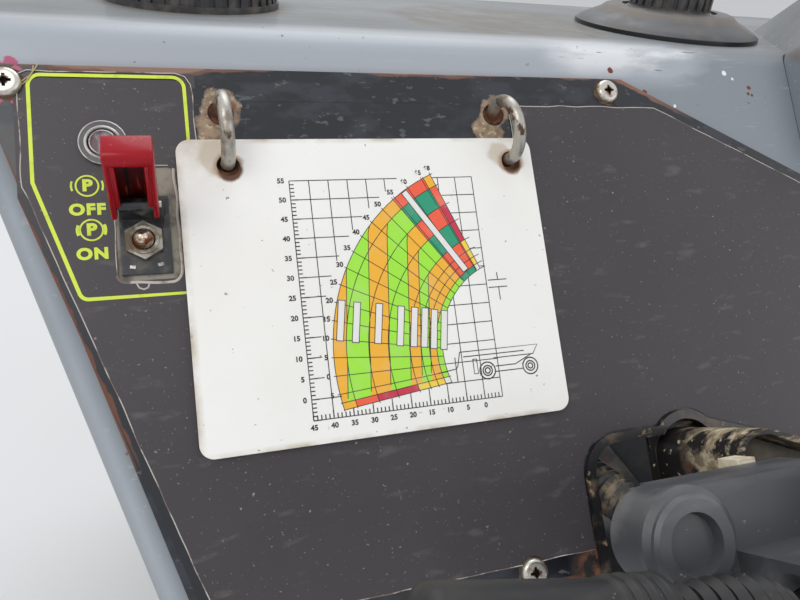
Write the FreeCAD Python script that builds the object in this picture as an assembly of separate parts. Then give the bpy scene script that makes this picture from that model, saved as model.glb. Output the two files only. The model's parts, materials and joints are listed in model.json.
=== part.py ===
import FreeCAD, Part
import math
import os

os.makedirs("parts", exist_ok=True)

V = FreeCAD.Vector

# Dashboard console of a telehandler cab.
# World frame: millimetres, +X right, +Y away from the operator, +Z up, floor at Z = 0,
# origin in the middle of the floor bolts.
# Panel frame: x right, y up along the sloping face, z straight out of it, z = 0 at the
# front of the chart card.

PANEL_SLOPE = 50.5          # sloping face from the horizontal, degrees
PANEL_X = 122.0             # panel x of the console's middle plane
PANEL_HEIGHT = 300.0        # floor to the panel frame's origin

# housing
SHEET = 2.5
EDGE_RADIUS = 20.0
FACE_Z = -7.0               # housing face in the panel frame
DECK_HEIGHT = 428.0
DECK_BACK = 300.0
KNEE_Y = -138.0             # lower end of the sloping face, along the panel
HALF_WIDTH_TOP = 350.0
SIDE_LEAN = 0.405           # sideways run of the side walls per unit of height
WALL_HEADROOM = 80.0        # how far the walls' planes are drawn on over the deck

# floor flange
FLANGE_THICK = 5.0
FLANGE_WIDTH = 36.0
BOLT_HOLE = 5.5
BOLT_EDGE = 20.0            # bolt centre to the flange's outer edge
WELD_GAP = 0.3

# raised instrument cowl: outline (x, y) in the panel frame
COWL = [(226, 105), (226, 168), (290, 232), (420, 232), (432, 150), (412, 14)]
COWL_RISE = 12.0
COWL_DEPTH = 95.0
COWL_CORNER = 12.0
COWL_RADIUS = 9.0
COWL_SETBACK = 8.0          # cowl's right side inside the leaning wall
GAUGES = [(322.0, 165.0), (380.0, 165.0)]
GAUGE_RADIUS = 24.0
INSTRUMENT = (287.0, 411.0, 130.0, 200.0)   # left, right, low, high

# switch plate, its film and its screws
PLATE = 3.0
FILM = 0.5
FRONT_Z = FACE_Z + PLATE
PLATE_TOP = 150.5
PLATE_LOW = -97.0
PLATE_OUTLINE = [(-202.5, PLATE_TOP), (106.0, PLATE_TOP), (401.0, 2.8), (369.5, PLATE_LOW),
                 (-125.5, PLATE_LOW)]
FILM_OUTLINE = [(-186.4, 144), (-116.4, 144), (-116.4, 110), (36, 110), (36, 134.2),
                (123.4, 134.2), (391, 3.4), (365.5, -84), (-125.6, -84), (-186.4, 93)]
SWITCH_WINDOW = (-151.2, -126.6, 56.6, 105.0)
SCREWS = [(-189.0, 141.8), (95.3, 142.6), (13.1, -87.9), (-112.0, -90.5), (356.0, -90.5),
          (379.0, 2.0)]
SCREW_HEAD = 6.25
SCREW_HIGH = 3.4
SCREW_SHANK = 3.0
SHANK_LENGTH = 14.0

# chart card and the two rings it hangs on
CARD_LEFT, CARD_RIGHT = -125.3, 42.5
CARD_LOW, CARD_HIGH = -18.7, 115.7
CARD_THICK = 2.2
CARD_CORNER = 6.0
CARD_HOLE = 9.8
RING_WIRE = 6.0
RING_RADIUS = 14.0
RING_Y = 118.6
RING_Z = 2.5
RING_HOLE = 11.2
RINGS = [("ring_left", -104.6, 2.0), ("ring_right", 29.0, 8.0)]   # name, x, lean in degrees
HANG = 0.2                  # gap where the card and rings hang

# park brake switch with its red guard
SWITCH_X, SWITCH_Y = -140.3, 72.8
BASE = (-149.8, -129.8, 58.8, 92.0)
BASE_THICK = 1.5
NUT_HIGH = 2.6
NUT_RADIUS = 8.25
BUSHING = 6.0
BUSHING_FIT = 0.2
TOGGLE_REACH = 9.0          # pivot to the centre of the bat's round end
TOGGLE_REST = -11.0
GUARD_X = -141.8
HINGE_Y, HINGE_Z = 85.0, 8.0
PIN = 1.5
GUARD_OPEN = 115.0
GUARD_LENGTH = 35.5
GUARD_HEEL = 5.0
GUARD_SKIRT = 6.0
GUARD_RISE = 8.0
GUARD_WALL = 2.2
GUARD_HALF = 9.5
GUARD_ROUND = 5.0
LUG_HALF = 6.6

# pilot lamp
LAMP_X, LAMP_Y = -153.6, 115.5
LAMP_HOLE = 8.2
LAMP_BEZEL = 9.5
LENS = 6.0

# deck vents, centres in the world frame before the origin is set
VENT_RIGHT = (72.0, 187.0)
VENT_LEFT = (-231.0, 203.0)
VENT_HOLE = 36.0
NECK_RADIUS = 34.5
NECK_LENGTH = 42.5
NECK_BORE = 31.0
BEZEL_RADIUS = 59.0
TURRET_RADIUS = 26.0
TURRET_RIBS = 24
GRILLE_RADIUS = 46.0
GRILLE_RIBS = 40

# column opening: outline (x, y) in the panel frame and the bulge over the bracket
OPENING = [(51.6, -124), (51.6, -37.6), (121, -37.6), (196, -63.5), (196, -124)]
OPENING_CORNER = 14.0
BULGE = (106.0, -48.0, 16.6)
LIP_WIDTH = 4.5
LIP_HIGH = 2.2

# steering column
COLUMN_X, COLUMN_Y = 122.0, -92.0
COLUMN_TILT = 10.5          # column from the panel normal, leaning up
COLUMN_RADIUS = 25.0
COLUMN_BORE = 21.0
COLLAR_RADIUS = 30.0
COLLAR_LENGTH = 28.0
TUBE_LOW, TUBE_TOP = -120.0, 112.0
BUSH_LENGTH = 18.0
SHAFT_RADIUS = 9.5
SHAFT_LOW, SHAFT_TOP = -150.0, 168.0
THREAD_LENGTH = 22.0
THREAD_RADIUS = 7.0
SEAT_LENGTH = 26.0
SEAT_RADIUS = 8.7
RUN = 0.05                  # radial running clearance of turning pieces
PRESS = 0.02

# column bracket: folded channel that follows the opening
BRACKET_LOW = -12.5
BRACKET_FRONT = 46.0
BRACKET_SHEET = 3.0

# shifter on the column
CASE_BOX = (30.0, 97.0, -84.0, -46.0, 62.0, 84.0)     # x, y and z ranges of the switch box
CASE_BLOCK = (49.0, 104.0, -116.0, -70.0, 50.0, 118.0)
BOSS = (29.0, -63.5)
BOSS_RADIUS = 19.0
BOSS_HIGH = 6.0
LEVER_ROOT = V(57, -86.5, 106)
LEVER_TIP = V(-80, -60.5, 112)
LEVER_BALL = 8.0
LEVER_STEM = 5.0
BOOT = [(12, 8.0), (17.5, 10.5), (23, 12.0), (28.5, 12.2), (34, 11.8), (39.5, 11.2), (45, 10.4),
        (50.5, 9.4)]        # distance along the lever, radius of each fold
BOOT_PITCH = 5.5
GRIP_START = 60.0
GRIP_RADIUS = 11.0
GRIP_ROUND = 8.0

# conduit: points of its middle line in the panel frame
CONDUIT_PATH = [(55, -42, -48), (59.5, -54, -24), (64.5, -66, -2), (68, -76, 20), (70, -84, 38),
                (70.5, -86, 56)]
CONDUIT = 10.5
MOUTH = 12.5                # hole in the case that takes the conduit's end


def cyl(radius, height, base, axis=V(0, 0, 1)):
    return Part.makeCylinder(radius, height, base, axis)


def box(x0, x1, y0, y1, z0, z1):
    return Part.makeBox(x1 - x0, y1 - y0, z1 - z0, V(x0, y0, z0))


def prism(points, z0, z1):
    """Upright prism over a flat outline of (x, y) points."""
    corners = [V(x, y, z0) for x, y in points]
    face = Part.Face(Part.makePolygon(corners + [corners[0]]))
    return face.extrude(V(0, 0, z1 - z0))


def upright_edges(shape):
    """Edges that run along z."""
    found = []
    for edge in shape.Edges:
        a = edge.Vertexes[0].Point
        b = edge.Vertexes[-1].Point
        if abs(a.x - b.x) < 1e-4 and abs(a.y - b.y) < 1e-4 and abs(a.z - b.z) > 1e-4:
            found.append(edge)
    return found


def rounded_prism(points, z0, z1, radius):
    solid = prism(points, z0, z1)
    return solid.makeFillet(radius, upright_edges(solid))


def rectangle(x0, x1, y0, y1):
    return [(x0, y0), (x1, y0), (x1, y1), (x0, y1)]


def top_edges(shape, height):
    """Edges that lie at or over a height."""
    return [edge for edge in shape.Edges if edge.BoundBox.ZMin > height - 0.01]


def fuse(shapes):
    whole = shapes[0]
    if len(shapes) > 1:
        whole = whole.multiFuse(shapes[1:])
    return whole.removeSplitter()


def panel_point(x, y, z):
    """World (y, z) of a panel frame point, before the origin is set."""
    c = math.cos(math.radians(PANEL_SLOPE))
    s = math.sin(math.radians(PANEL_SLOPE))
    return (y * c - z * s, PANEL_HEIGHT + y * s + z * c)


# front of the housing at the floor, and the middle of the floor bolts behind it
KNEE_FRONT = panel_point(0, KNEE_Y, FACE_Z)[0]
ORIGIN_Y = (KNEE_FRONT + DECK_BACK) / 2


def place_panel(shape):
    """Carry a shape from the panel frame into the console's frame."""
    shape = shape.copy()
    shape.rotate(V(0, 0, 0), V(1, 0, 0), PANEL_SLOPE)
    shape.translate(V(-PANEL_X, 0, PANEL_HEIGHT))
    return shape


def save(name, shape):
    """Write one piece as a STEP file, with the origin in the middle of the floor bolts."""
    shape = shape.copy()
    shape.translate(V(0, -ORIGIN_Y, 0))
    shape.exportStep("parts/%s.step" % name)


# housing: bent and welded sheet, open at the back and underneath
def side_profile(inset):
    """Side view (y, z) of the housing: floor, knee, sloping face, deck, back."""
    c = math.cos(math.radians(PANEL_SLOPE))
    s = math.sin(math.radians(PANEL_SLOPE))
    face_z = FACE_Z - inset
    deck = DECK_HEIGHT - inset
    knee_front = KNEE_FRONT + inset
    y_knee = (knee_front + face_z * s) / c
    y_deck = (deck - PANEL_HEIGHT - face_z * c) / s
    knee = panel_point(0, y_knee, face_z)
    top = panel_point(0, y_deck, face_z)
    low = -1.0 if inset else 0.0
    back = DECK_BACK + (1.0 if inset else 0.0)
    return [(knee_front, low), knee, top, (back, deck), (back, low)]


def leaning_walls(inset):
    """Block between the two leaning side walls, narrower towards the floor."""
    grow = inset * math.sqrt(1 + SIDE_LEAN ** 2)
    high = DECK_HEIGHT + WALL_HEADROOM
    top = HALF_WIDTH_TOP + WALL_HEADROOM * SIDE_LEAN - grow
    low = top - (high + 1) * SIDE_LEAN
    front = [V(low, -500, -1), V(top, -500, high), V(-top, -500, high), V(-low, -500, -1)]
    return Part.Face(Part.makePolygon(front + [front[0]])).extrude(V(0, 1100, 0))


def rounded_console(inset):
    """Solid block inside the housing's skin, inset by the sheet thickness."""
    side = [V(-500, y, z) for y, z in side_profile(inset)]
    slab = Part.Face(Part.makePolygon(side + [side[0]])).extrude(V(1000, 0, 0))
    block = slab.common(leaning_walls(inset)).removeSplitter()
    wanted = []
    for edge in block.Edges:
        a = edge.Vertexes[0].Point
        b = edge.Vertexes[-1].Point
        if max(a.z, b.z) > 1 and min(a.y, b.y) < DECK_BACK - 1:
            wanted.append(edge)
    return block.makeFillet(EDGE_RADIUS - inset, wanted)


def cowl_block(inset):
    """Cowl that stands on the sloping face and deck, square to the face."""
    cx = sum(p[0] for p in COWL) / len(COWL)
    cy = sum(p[1] for p in COWL) / len(COWL)
    points = []
    for x, y in COWL:
        length = math.hypot(x - cx, y - cy)
        share = (length - inset * 1.3) / length
        points.append((cx + (x - cx) * share, cy + (y - cy) * share))
    top = COWL_RISE - inset
    block = rounded_prism(points, -COWL_DEPTH, top, COWL_CORNER - inset)
    block = place_panel(block.makeFillet(COWL_RADIUS - inset, top_edges(block, top)))
    return block.common(leaning_walls(inset + COWL_SETBACK))


def column_opening(grow, z0, z1):
    """Prism of the column opening, larger all round by grow."""
    left, right = OPENING[0][0] - grow, OPENING[3][0] + grow
    points = [(left, OPENING[0][1]), (left, OPENING[1][1] + grow),
              (OPENING[2][0], OPENING[2][1] + grow), (right, OPENING[3][1] + grow),
              (right, OPENING[4][1])]
    solid = prism(points, z0, z1)
    corners = []
    for edge in upright_edges(solid):
        p = edge.Vertexes[0].Point
        if p.x in (left, right) and p.y > OPENING[0][1] + 1:
            corners.append(edge)
    solid = solid.makeFillet(OPENING_CORNER + grow, corners)
    bulge = cyl(BULGE[2] + grow, z1 - z0, V(BULGE[0], BULGE[1], z0))
    return solid.fuse(bulge).removeSplitter()


outer = rounded_console(0.0).fuse(cowl_block(0.0))
inner = rounded_console(SHEET).fuse(cowl_block(SHEET))
shell = outer.cut(inner)

# windows through the sloping face behind the switch plate and for the column
WINDOW = [(-178, 139), (94, 139), (176, 92), (176, -10), (30, -10), (30, -78), (-112, -78)]
shell = shell.cut(place_panel(rounded_prism(WINDOW, FACE_Z - 6, FACE_Z + 6, 8.0)))
shell = shell.cut(place_panel(column_opening(3.0, FACE_Z - 40, FACE_Z + 6)))
for x, y in SCREWS:
    shell = shell.cut(place_panel(cyl(SCREW_SHANK + 0.1, 12, V(x, y, FACE_Z - 6))))
for x, y in (VENT_RIGHT, VENT_LEFT):
    shell = shell.cut(cyl(VENT_HOLE, 40, V(x, y, DECK_HEIGHT - 20)))
left, right, low, high = INSTRUMENT
RIM = 6.0
window = rounded_prism(rectangle(left + RIM, right - RIM, low + RIM, high - RIM),
                       COWL_RISE - 8, COWL_RISE + 4, 5.0)
shell = shell.cut(place_panel(window))
save("housing", shell)

# floor flange: welded frame of flat bar inside the lower rim, with bolt holes
half_floor = HALF_WIDTH_TOP - DECK_HEIGHT * SIDE_LEAN
flange_side = half_floor - SHEET * math.sqrt(1 + SIDE_LEAN ** 2) - WELD_GAP
flange_front = KNEE_FRONT + SHEET + WELD_GAP
flange = prism(rectangle(-flange_side, flange_side, flange_front, DECK_BACK), 0, FLANGE_THICK)
front_corners = [e for e in upright_edges(flange) if e.Vertexes[0].Point.y < flange_front + 1]
flange = flange.makeFillet(EDGE_RADIUS, front_corners)
flange = flange.cut(box(-flange_side + FLANGE_WIDTH, flange_side - FLANGE_WIDTH,
                        flange_front + FLANGE_WIDTH, DECK_BACK - FLANGE_WIDTH, -1, FLANGE_THICK + 1))
bolt_x = flange_side - BOLT_EDGE
bolt_run = DECK_BACK - BOLT_EDGE - ORIGIN_Y
for x in (-bolt_x, bolt_x):
    for y in (ORIGIN_Y - bolt_run, ORIGIN_Y, ORIGIN_Y + bolt_run):
        flange = flange.cut(cyl(BOLT_HOLE, 10, V(x, y, -2)))
save("floor_flange", flange)

# switch plate: black painted sheet screwed to the sloping face
plate = prism(PLATE_OUTLINE, FACE_Z, FRONT_Z)
plate = plate.cut(column_opening(0.0, FACE_Z - 1, FRONT_Z + 1))
ring_inside = RING_RADIUS - RING_WIRE / 2
ring_outside = RING_RADIUS + RING_WIRE / 2
rim_back = math.sqrt(ring_inside ** 2 - (RING_Z - FACE_Z) ** 2)      # wire's inner side at the back
rim_front = math.sqrt(ring_outside ** 2 - (RING_Z - FRONT_Z) ** 2)   # its outer side at the front
for name, x, lean in RINGS:
    sway = math.tan(math.radians(lean))
    high_hole = rim_back - HANG + RING_HOLE / 2
    low_hole = (rim_back + rim_front) / 2
    plate = plate.cut(cyl(RING_HOLE / 2, 10, V(x - high_hole * sway, RING_Y + high_hole, FACE_Z - 2)))
    plate = plate.cut(cyl(RING_HOLE / 2, 10, V(x + low_hole * sway, RING_Y - low_hole, FACE_Z - 2)))
plate = plate.cut(cyl(LAMP_HOLE, 10, V(LAMP_X, LAMP_Y, FACE_Z - 2)))
plate = plate.cut(cyl(BUSHING + BUSHING_FIT, 10, V(SWITCH_X, SWITCH_Y, FACE_Z - 2)))
for x, y in SCREWS:
    plate = plate.cut(cyl(SCREW_SHANK + 0.3, 10, V(x, y, FACE_Z - 2)))
save("switch_plate", place_panel(plate))

# printed film stuck to the plate, cut away around the switch, rings and screws
film = prism(FILM_OUTLINE, FRONT_Z, FRONT_Z + FILM)
tab_corners = []
for edge in upright_edges(film):
    p = edge.Vertexes[0].Point
    if p.y > 140 and p.x > -120:
        tab_corners.append(edge)
film = film.makeFillet(5.0, tab_corners)
film = film.cut(column_opening(LIP_WIDTH + 1.0, FRONT_Z - 1, FRONT_Z + 2))
film = film.cut(cyl(LAMP_HOLE, 4, V(LAMP_X, LAMP_Y, FRONT_Z - 1)))
film = film.cut(rounded_prism(rectangle(*SWITCH_WINDOW), FRONT_Z - 1, FRONT_Z + 2, 3.0))
for name, x, lean in RINGS:
    film = film.cut(cyl(RING_HOLE / 2 + 4.0, 4, V(x, RING_Y - rim_front, FRONT_Z - 1)))
for x, y in SCREWS:
    film = film.cut(cyl(SCREW_HEAD + 0.6, 4, V(x, y, FRONT_Z - 1)))
save("switch_plate_film", place_panel(film))

# rolled edge around the column opening
lip = column_opening(LIP_WIDTH, FRONT_Z, FRONT_Z + LIP_HIGH)
lip = lip.cut(column_opening(0.0, FRONT_Z - 1, FRONT_Z + LIP_HIGH + 1))
lip = lip.common(box(0, 300, PLATE_LOW, 0, FRONT_Z, FRONT_Z + LIP_HIGH))
save("opening_edge", place_panel(lip))

# pan head screws with a cross recess
heads = []
for x, y in SCREWS:
    head = cyl(SCREW_HEAD, SCREW_HIGH, V(x, y, FRONT_Z))
    head = head.makeFillet(2.2, top_edges(head, FRONT_Z + SCREW_HIGH))
    for w, h in ((5.6, 1.3), (1.3, 5.6)):
        head = head.cut(box(x - w / 2, x + w / 2, y - h / 2, y + h / 2, FRONT_Z + 1.6, FRONT_Z + 6))
    shank = cyl(SCREW_SHANK, SHANK_LENGTH, V(x, y, FRONT_Z - SHANK_LENGTH))
    heads.append(place_panel(head.fuse(shank).removeSplitter()))
save("plate_screws", Part.makeCompound(heads))

# chart card: laminated sheet with two punched holes
card = rounded_prism(rectangle(CARD_LEFT, CARD_RIGHT, CARD_LOW, CARD_HIGH), -CARD_THICK, 0,
                     CARD_CORNER)
hang = math.sqrt(ring_inside ** 2 - (RING_Z + CARD_THICK) ** 2)      # wire's inner side at the back
hole_drop = hang - HANG + CARD_HOLE / 2
for name, x, lean in RINGS:
    sway = math.tan(math.radians(lean))
    card = card.cut(cyl(CARD_HOLE / 2, 6, V(x + hole_drop * sway, RING_Y - hole_drop, -4)))
save("chart_card", place_panel(card))

# two round wire rings that pass through the plate and the card
for name, x, lean in RINGS:
    ring = Part.makeTorus(RING_RADIUS, RING_WIRE / 2, V(0, 0, 0), V(1, 0, 0))
    ring.rotate(V(0, 0, 0), V(0, 0, 1), lean)
    ring.translate(V(x, RING_Y, RING_Z))
    save(name, place_panel(ring))

# switch base: pressed plate with the lug that carries the guard's pin
base_top = FRONT_Z + BASE_THICK
base = prism(rectangle(*BASE), FRONT_Z, base_top)
base = base.cut(cyl(BUSHING + BUSHING_FIT, 6, V(SWITCH_X, SWITCH_Y, FRONT_Z - 2)))
lug = box(GUARD_X - LUG_HALF, GUARD_X + LUG_HALF, HINGE_Y - 3, HINGE_Y + 3, base_top, HINGE_Z)
lug = lug.fuse(cyl(3.0, 2 * LUG_HALF, V(GUARD_X - LUG_HALF, HINGE_Y, HINGE_Z), V(1, 0, 0)))
lug = lug.cut(cyl(PIN, 2 * LUG_HALF + 2, V(GUARD_X - LUG_HALF - 1, HINGE_Y, HINGE_Z), V(1, 0, 0)))
save("switch_base", place_panel(base.fuse(lug).removeSplitter()))
pin = cyl(PIN, 2 * GUARD_HALF, V(GUARD_X - GUARD_HALF, HINGE_Y, HINGE_Z), V(1, 0, 0))
save("guard_pin", place_panel(pin))

# toggle switch: body behind the plate, threaded bushing and hexagon nut
hexagon = []
for k in range(6):
    a = math.radians(30 + 60 * k)
    hexagon.append((SWITCH_X + NUT_RADIUS * math.cos(a), SWITCH_Y + NUT_RADIUS * math.sin(a)))
nut = prism(hexagon, base_top, base_top + NUT_HIGH)
PIVOT_Z = base_top + NUT_HIGH + 0.4
bushing = cyl(BUSHING, PIVOT_Z + 0.5 - FACE_Z + 8, V(SWITCH_X, SWITCH_Y, FACE_Z - 8))
body = box(SWITCH_X - 9, SWITCH_X + 9, SWITCH_Y - 14, SWITCH_Y + 14, FACE_Z - 30, FACE_Z - 8)
BALL = 4.1
SOCKET = BALL + 0.3
switch = body.fuse(bushing).fuse(nut)
switch = switch.cut(Part.makeSphere(SOCKET, V(SWITCH_X, SWITCH_Y, PIVOT_Z)))
switch = switch.cut(cyl(SOCKET, 10, V(SWITCH_X, SWITCH_Y, PIVOT_Z)))
save("toggle_switch", place_panel(switch.removeSplitter()))

# toggle lever: bat that swings about the ball
BAT_END = 2.9
bat = Part.makeCone(2.0, BAT_END, TOGGLE_REACH - 2.0, V(0, 0, 2.0))
toggle = fuse([Part.makeSphere(BALL), bat, Part.makeSphere(BAT_END, V(0, 0, TOGGLE_REACH))])
toggle.rotate(V(0, 0, 0), V(1, 0, 0), -TOGGLE_REST)
toggle.translate(V(SWITCH_X, SWITCH_Y, PIVOT_Z))
save("toggle_lever", place_panel(toggle))


# red guard: channel with a closed round end, hinged on the pin, standing open
def guard_block(x_half, heel, length, skirt, rise, radius):
    """Block along the closed guard, hinge pin at the origin, round at its far end."""
    block = box(-x_half, x_half, -length, heel, -skirt, rise)
    if radius:
        far = []
        for edge in block.Edges:
            bounds = edge.BoundBox
            if bounds.YMax < -length + 0.01 and bounds.XMax - bounds.XMin > x_half:
                far.append(edge)
        block = block.makeFillet(radius, far)
    return block


guard = guard_block(GUARD_HALF, GUARD_HEEL, GUARD_LENGTH, GUARD_SKIRT, GUARD_RISE, GUARD_ROUND)
hollow = guard_block(GUARD_HALF - GUARD_WALL, GUARD_HEEL + 10, GUARD_LENGTH - GUARD_WALL,
                     GUARD_SKIRT + 10, GUARD_RISE - GUARD_WALL, 0)
guard = guard.cut(hollow)
heel_relief = box(-GUARD_HALF - 1, GUARD_HALF + 1, 0.0, GUARD_HEEL + 1, 3.4, GUARD_RISE + 1)
guard = guard.cut(heel_relief)
guard = guard.cut(cyl(PIN + RUN, 30, V(-15, 0, 0), V(1, 0, 0)))
guard.rotate(V(0, 0, 0), V(1, 0, 0), -GUARD_OPEN)
guard.translate(V(GUARD_X, HINGE_Y, HINGE_Z))
save("switch_guard", place_panel(guard))

# pilot lamp: threaded body with a turned bezel, and its lens
lamp_z = FRONT_Z + FILM
lamp = cyl(LAMP_BEZEL, 1.6, V(LAMP_X, LAMP_Y, lamp_z))
lamp = lamp.fuse(cyl(LAMP_HOLE - 0.2, 34, V(LAMP_X, LAMP_Y, lamp_z - 34)))
lamp = lamp.cut(cyl(LENS + 0.1, 12, V(LAMP_X, LAMP_Y, lamp_z - 4)))
save("lamp_body", place_panel(lamp.removeSplitter()))
lens = cyl(LENS, 4.5, V(LAMP_X, LAMP_Y, lamp_z - 4))
lens = lens.makeFillet(1.2, top_edges(lens, lamp_z + 0.5))
save("lamp_lens", place_panel(lens))


# deck vents
def turned(points, centre):
    """Solid of revolution from (radius, height over the deck) points."""
    corners = [V(centre[0] + r, centre[1], DECK_HEIGHT + h) for r, h in points]
    face = Part.Face(Part.makePolygon(corners + [corners[0]]))
    return face.revolve(V(centre[0], centre[1], 0), V(0, 0, 1), 360)


def ribbed(solid, centre, radius, deep, wide, low, high, count):
    """Cut upright grooves round a drum."""
    for k in range(count):
        groove = box(radius - deep, radius + 2, -wide / 2, wide / 2, low, high)
        groove.rotate(V(0, 0, 0), V(0, 0, 1), k * 360.0 / count)
        groove.translate(V(centre[0], centre[1], DECK_HEIGHT))
        solid = solid.cut(groove)
    return solid


neck = [(NECK_BORE, -SHEET - NECK_LENGTH), (NECK_RADIUS, -SHEET - NECK_LENGTH),
        (NECK_RADIUS, -SHEET), (VENT_HOLE - 0.5, -SHEET), (VENT_HOLE - 0.5, 0)]
flare = [(BEZEL_RADIUS, 0), (BEZEL_RADIUS, 2.6), (BEZEL_RADIUS - 4, 5.5), (44, 10.5), (41, 13.0),
         (38, 14.0), (30.5, 14.0), (30.5, 6.0), (27, 4), (27, -2), (NECK_BORE, -4)]
save("swivel_vent_bezel", turned(neck + flare, VENT_RIGHT))
turret = turned([(23.5, 6.5), (30, 6.5), (30, 12), (TURRET_RADIUS, 14), (TURRET_RADIUS, 34),
                 (TURRET_RADIUS - 3, 39), (16, 42), (0, 42.6), (0, 40.4), (15, 40),
                 (21, 37), (23.5, 33)], VENT_RIGHT)
save("swivel_vent_turret", ribbed(turret, VENT_RIGHT, TURRET_RADIUS, 1.6, 2.6, 15, 33, TURRET_RIBS))

rim = [(GRILLE_RADIUS + 1, 0), (GRILLE_RADIUS + 1, 3), (GRILLE_RADIUS, 3), (GRILLE_RADIUS, 10),
       (GRILLE_RADIUS - 3, 12.5), (34, 12.5), (34, 2.5), (NECK_BORE, 2.5)]
grille = ribbed(turned(neck + rim, VENT_LEFT), VENT_LEFT, GRILLE_RADIUS, 1.2, 3.0, 3.2, 10,
                GRILLE_RIBS)
bars = [grille]
for k in range(-3, 4):
    half = math.sqrt(34.5 ** 2 - (abs(k) * 9 + 1.2) ** 2)
    middle = VENT_LEFT[0] + k * 9
    bars.append(box(middle - 1.2, middle + 1.2, VENT_LEFT[1] - half, VENT_LEFT[1] + half,
                    DECK_HEIGHT + 4, DECK_HEIGHT + 11))
save("defroster_grille", fuse(bars))

# instruments in the cowl: plate, two round gauges and their glasses
INSTRUMENT_THICK = 2.0
plate_z = COWL_RISE + INSTRUMENT_THICK
face_plate = rounded_prism(rectangle(*INSTRUMENT), COWL_RISE, plate_z, 8.0)
cups = []
glasses = []
for x, y in GAUGES:
    face_plate = face_plate.cut(cyl(GAUGE_RADIUS + 0.2, 10, V(x, y, COWL_RISE - 4)))
    cup = cyl(GAUGE_RADIUS, 30, V(x, y, plate_z - 30))
    cup = cup.fuse(cyl(GAUGE_RADIUS + 3, 3.5, V(x, y, plate_z)))
    cup = cup.cut(cyl(GAUGE_RADIUS - 2, 10, V(x, y, plate_z - 3)))
    cups.append(place_panel(cup.removeSplitter()))
    glasses.append(place_panel(cyl(GAUGE_RADIUS - 2.1, 1.5, V(x, y, plate_z + 0.5))))
save("instrument_plate", place_panel(face_plate))
save("gauge_cases", Part.makeCompound(cups))
save("gauge_glasses", Part.makeCompound(glasses))

# steering column: jacket tube, bushes pressed into its ends, and the turning shaft
tilt = math.radians(COLUMN_TILT)
AXIS = V(0, math.sin(tilt), math.cos(tilt))
FOOT = V(COLUMN_X, COLUMN_Y, 0)


def along(distance):
    """Point on the column's axis, from where it crosses the panel frame's plane."""
    return FOOT + AXIS * distance


def column_cyl(radius, low, high):
    return cyl(radius, high - low, along(low), AXIS)


tube = column_cyl(COLUMN_RADIUS, TUBE_LOW, TUBE_TOP)
tube = tube.fuse(column_cyl(COLLAR_RADIUS, TUBE_TOP - COLLAR_LENGTH, TUBE_TOP))
tube = tube.cut(column_cyl(COLUMN_BORE, TUBE_LOW - 1, TUBE_TOP + 1))
save("column_tube", place_panel(tube.removeSplitter()))

bushes = []
for low in (TUBE_LOW, TUBE_TOP - BUSH_LENGTH):
    bush = column_cyl(COLUMN_BORE - PRESS, low, low + BUSH_LENGTH)
    bushes.append(place_panel(bush.cut(column_cyl(SHAFT_RADIUS + RUN, low - 1, low + BUSH_LENGTH + 1))))
save("column_bushes", Part.makeCompound(bushes))

seat_low = SHAFT_TOP - THREAD_LENGTH - SEAT_LENGTH
shaft = fuse([column_cyl(SHAFT_RADIUS, SHAFT_LOW, seat_low),
              column_cyl(SEAT_RADIUS, seat_low, seat_low + SEAT_LENGTH),
              column_cyl(THREAD_RADIUS, seat_low + SEAT_LENGTH, SHAFT_TOP),
              column_cyl(14.0, TUBE_TOP + 0.5, TUBE_TOP + 5.5),
              column_cyl(14.0, TUBE_LOW - 5.5, TUBE_LOW - 0.5)])
save("steering_shaft", place_panel(shaft))


# column bracket: folded channel that follows the opening, flanged behind the housing face
def bracket_prism(inset, z0, z1):
    points = [(92 + inset, -121), (92 + inset, -36 - inset), (110, -36 - inset),
              (190 - inset, -66 - inset), (190 - inset, -121)]
    solid = prism(points, z0, z1)
    corners = [e for e in upright_edges(solid) if e.Vertexes[0].Point.y > -100]
    return solid.makeFillet(12.0 - inset, corners)


FLANGE_OUTLINE = [(89, -119), (89, -14), (150, -14), (206, -34), (206, -119)]
channel = bracket_prism(0.0, BRACKET_LOW, BRACKET_FRONT)
flange = prism(FLANGE_OUTLINE, BRACKET_LOW, BRACKET_LOW + BRACKET_SHEET)
bracket = channel.fuse(flange).cut(bracket_prism(BRACKET_SHEET, BRACKET_LOW - 1, BRACKET_FRONT + 1))
save("column_bracket", place_panel(bracket.removeSplitter()))

clamp = bracket_prism(BRACKET_SHEET + 0.2, 12, 30).cut(column_cyl(COLUMN_RADIUS, -100, 100))
save("column_clamp", place_panel(clamp))

# conduit from inside the housing to the shifter, bent in one smooth run
curve = Part.BSplineCurve()
curve.interpolate([V(*point) for point in CONDUIT_PATH])
heading = curve.tangent(curve.FirstParameter)[0]
section = Part.Wire(Part.makeCircle(CONDUIT, V(*CONDUIT_PATH[0]), heading))
conduit = Part.Wire(curve.toShape()).makePipeShell([section], True, False)
save("cable_conduit", place_panel(conduit))

# shifter: moulded case clamped to the column, with the round cap of its switch
x0, x1, y0, y1, z0, z1 = CASE_BOX
case = box(x0, x1, y0, y1, z0, z1)
case = case.fuse(cyl(BOSS_RADIUS - 1.5, z1 - z0 - 4, V(BOSS[0], BOSS[1], z0 + 4)))
case = case.fuse(box(*CASE_BLOCK)).removeSplitter()
case = case.makeFillet(3.0, top_edges(case, CASE_BLOCK[5]))
case = case.cut(column_cyl(COLUMN_RADIUS, 0, 200))
case = case.cut(column_cyl(COLLAR_RADIUS + 0.3, TUBE_TOP - COLLAR_LENGTH - 0.3, 200))
case = case.cut(box(89, 130, -130, -40, 40, BRACKET_FRONT + 0.5))
mouth = V(CONDUIT_PATH[-1][0], CONDUIT_PATH[-1][1], CASE_BLOCK[4] - 1)
case = case.cut(cyl(MOUTH, CONDUIT_PATH[-1][2] - mouth.z + 1.5, mouth))
LEVER_AXIS = (LEVER_TIP - LEVER_ROOT).normalize()
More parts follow.
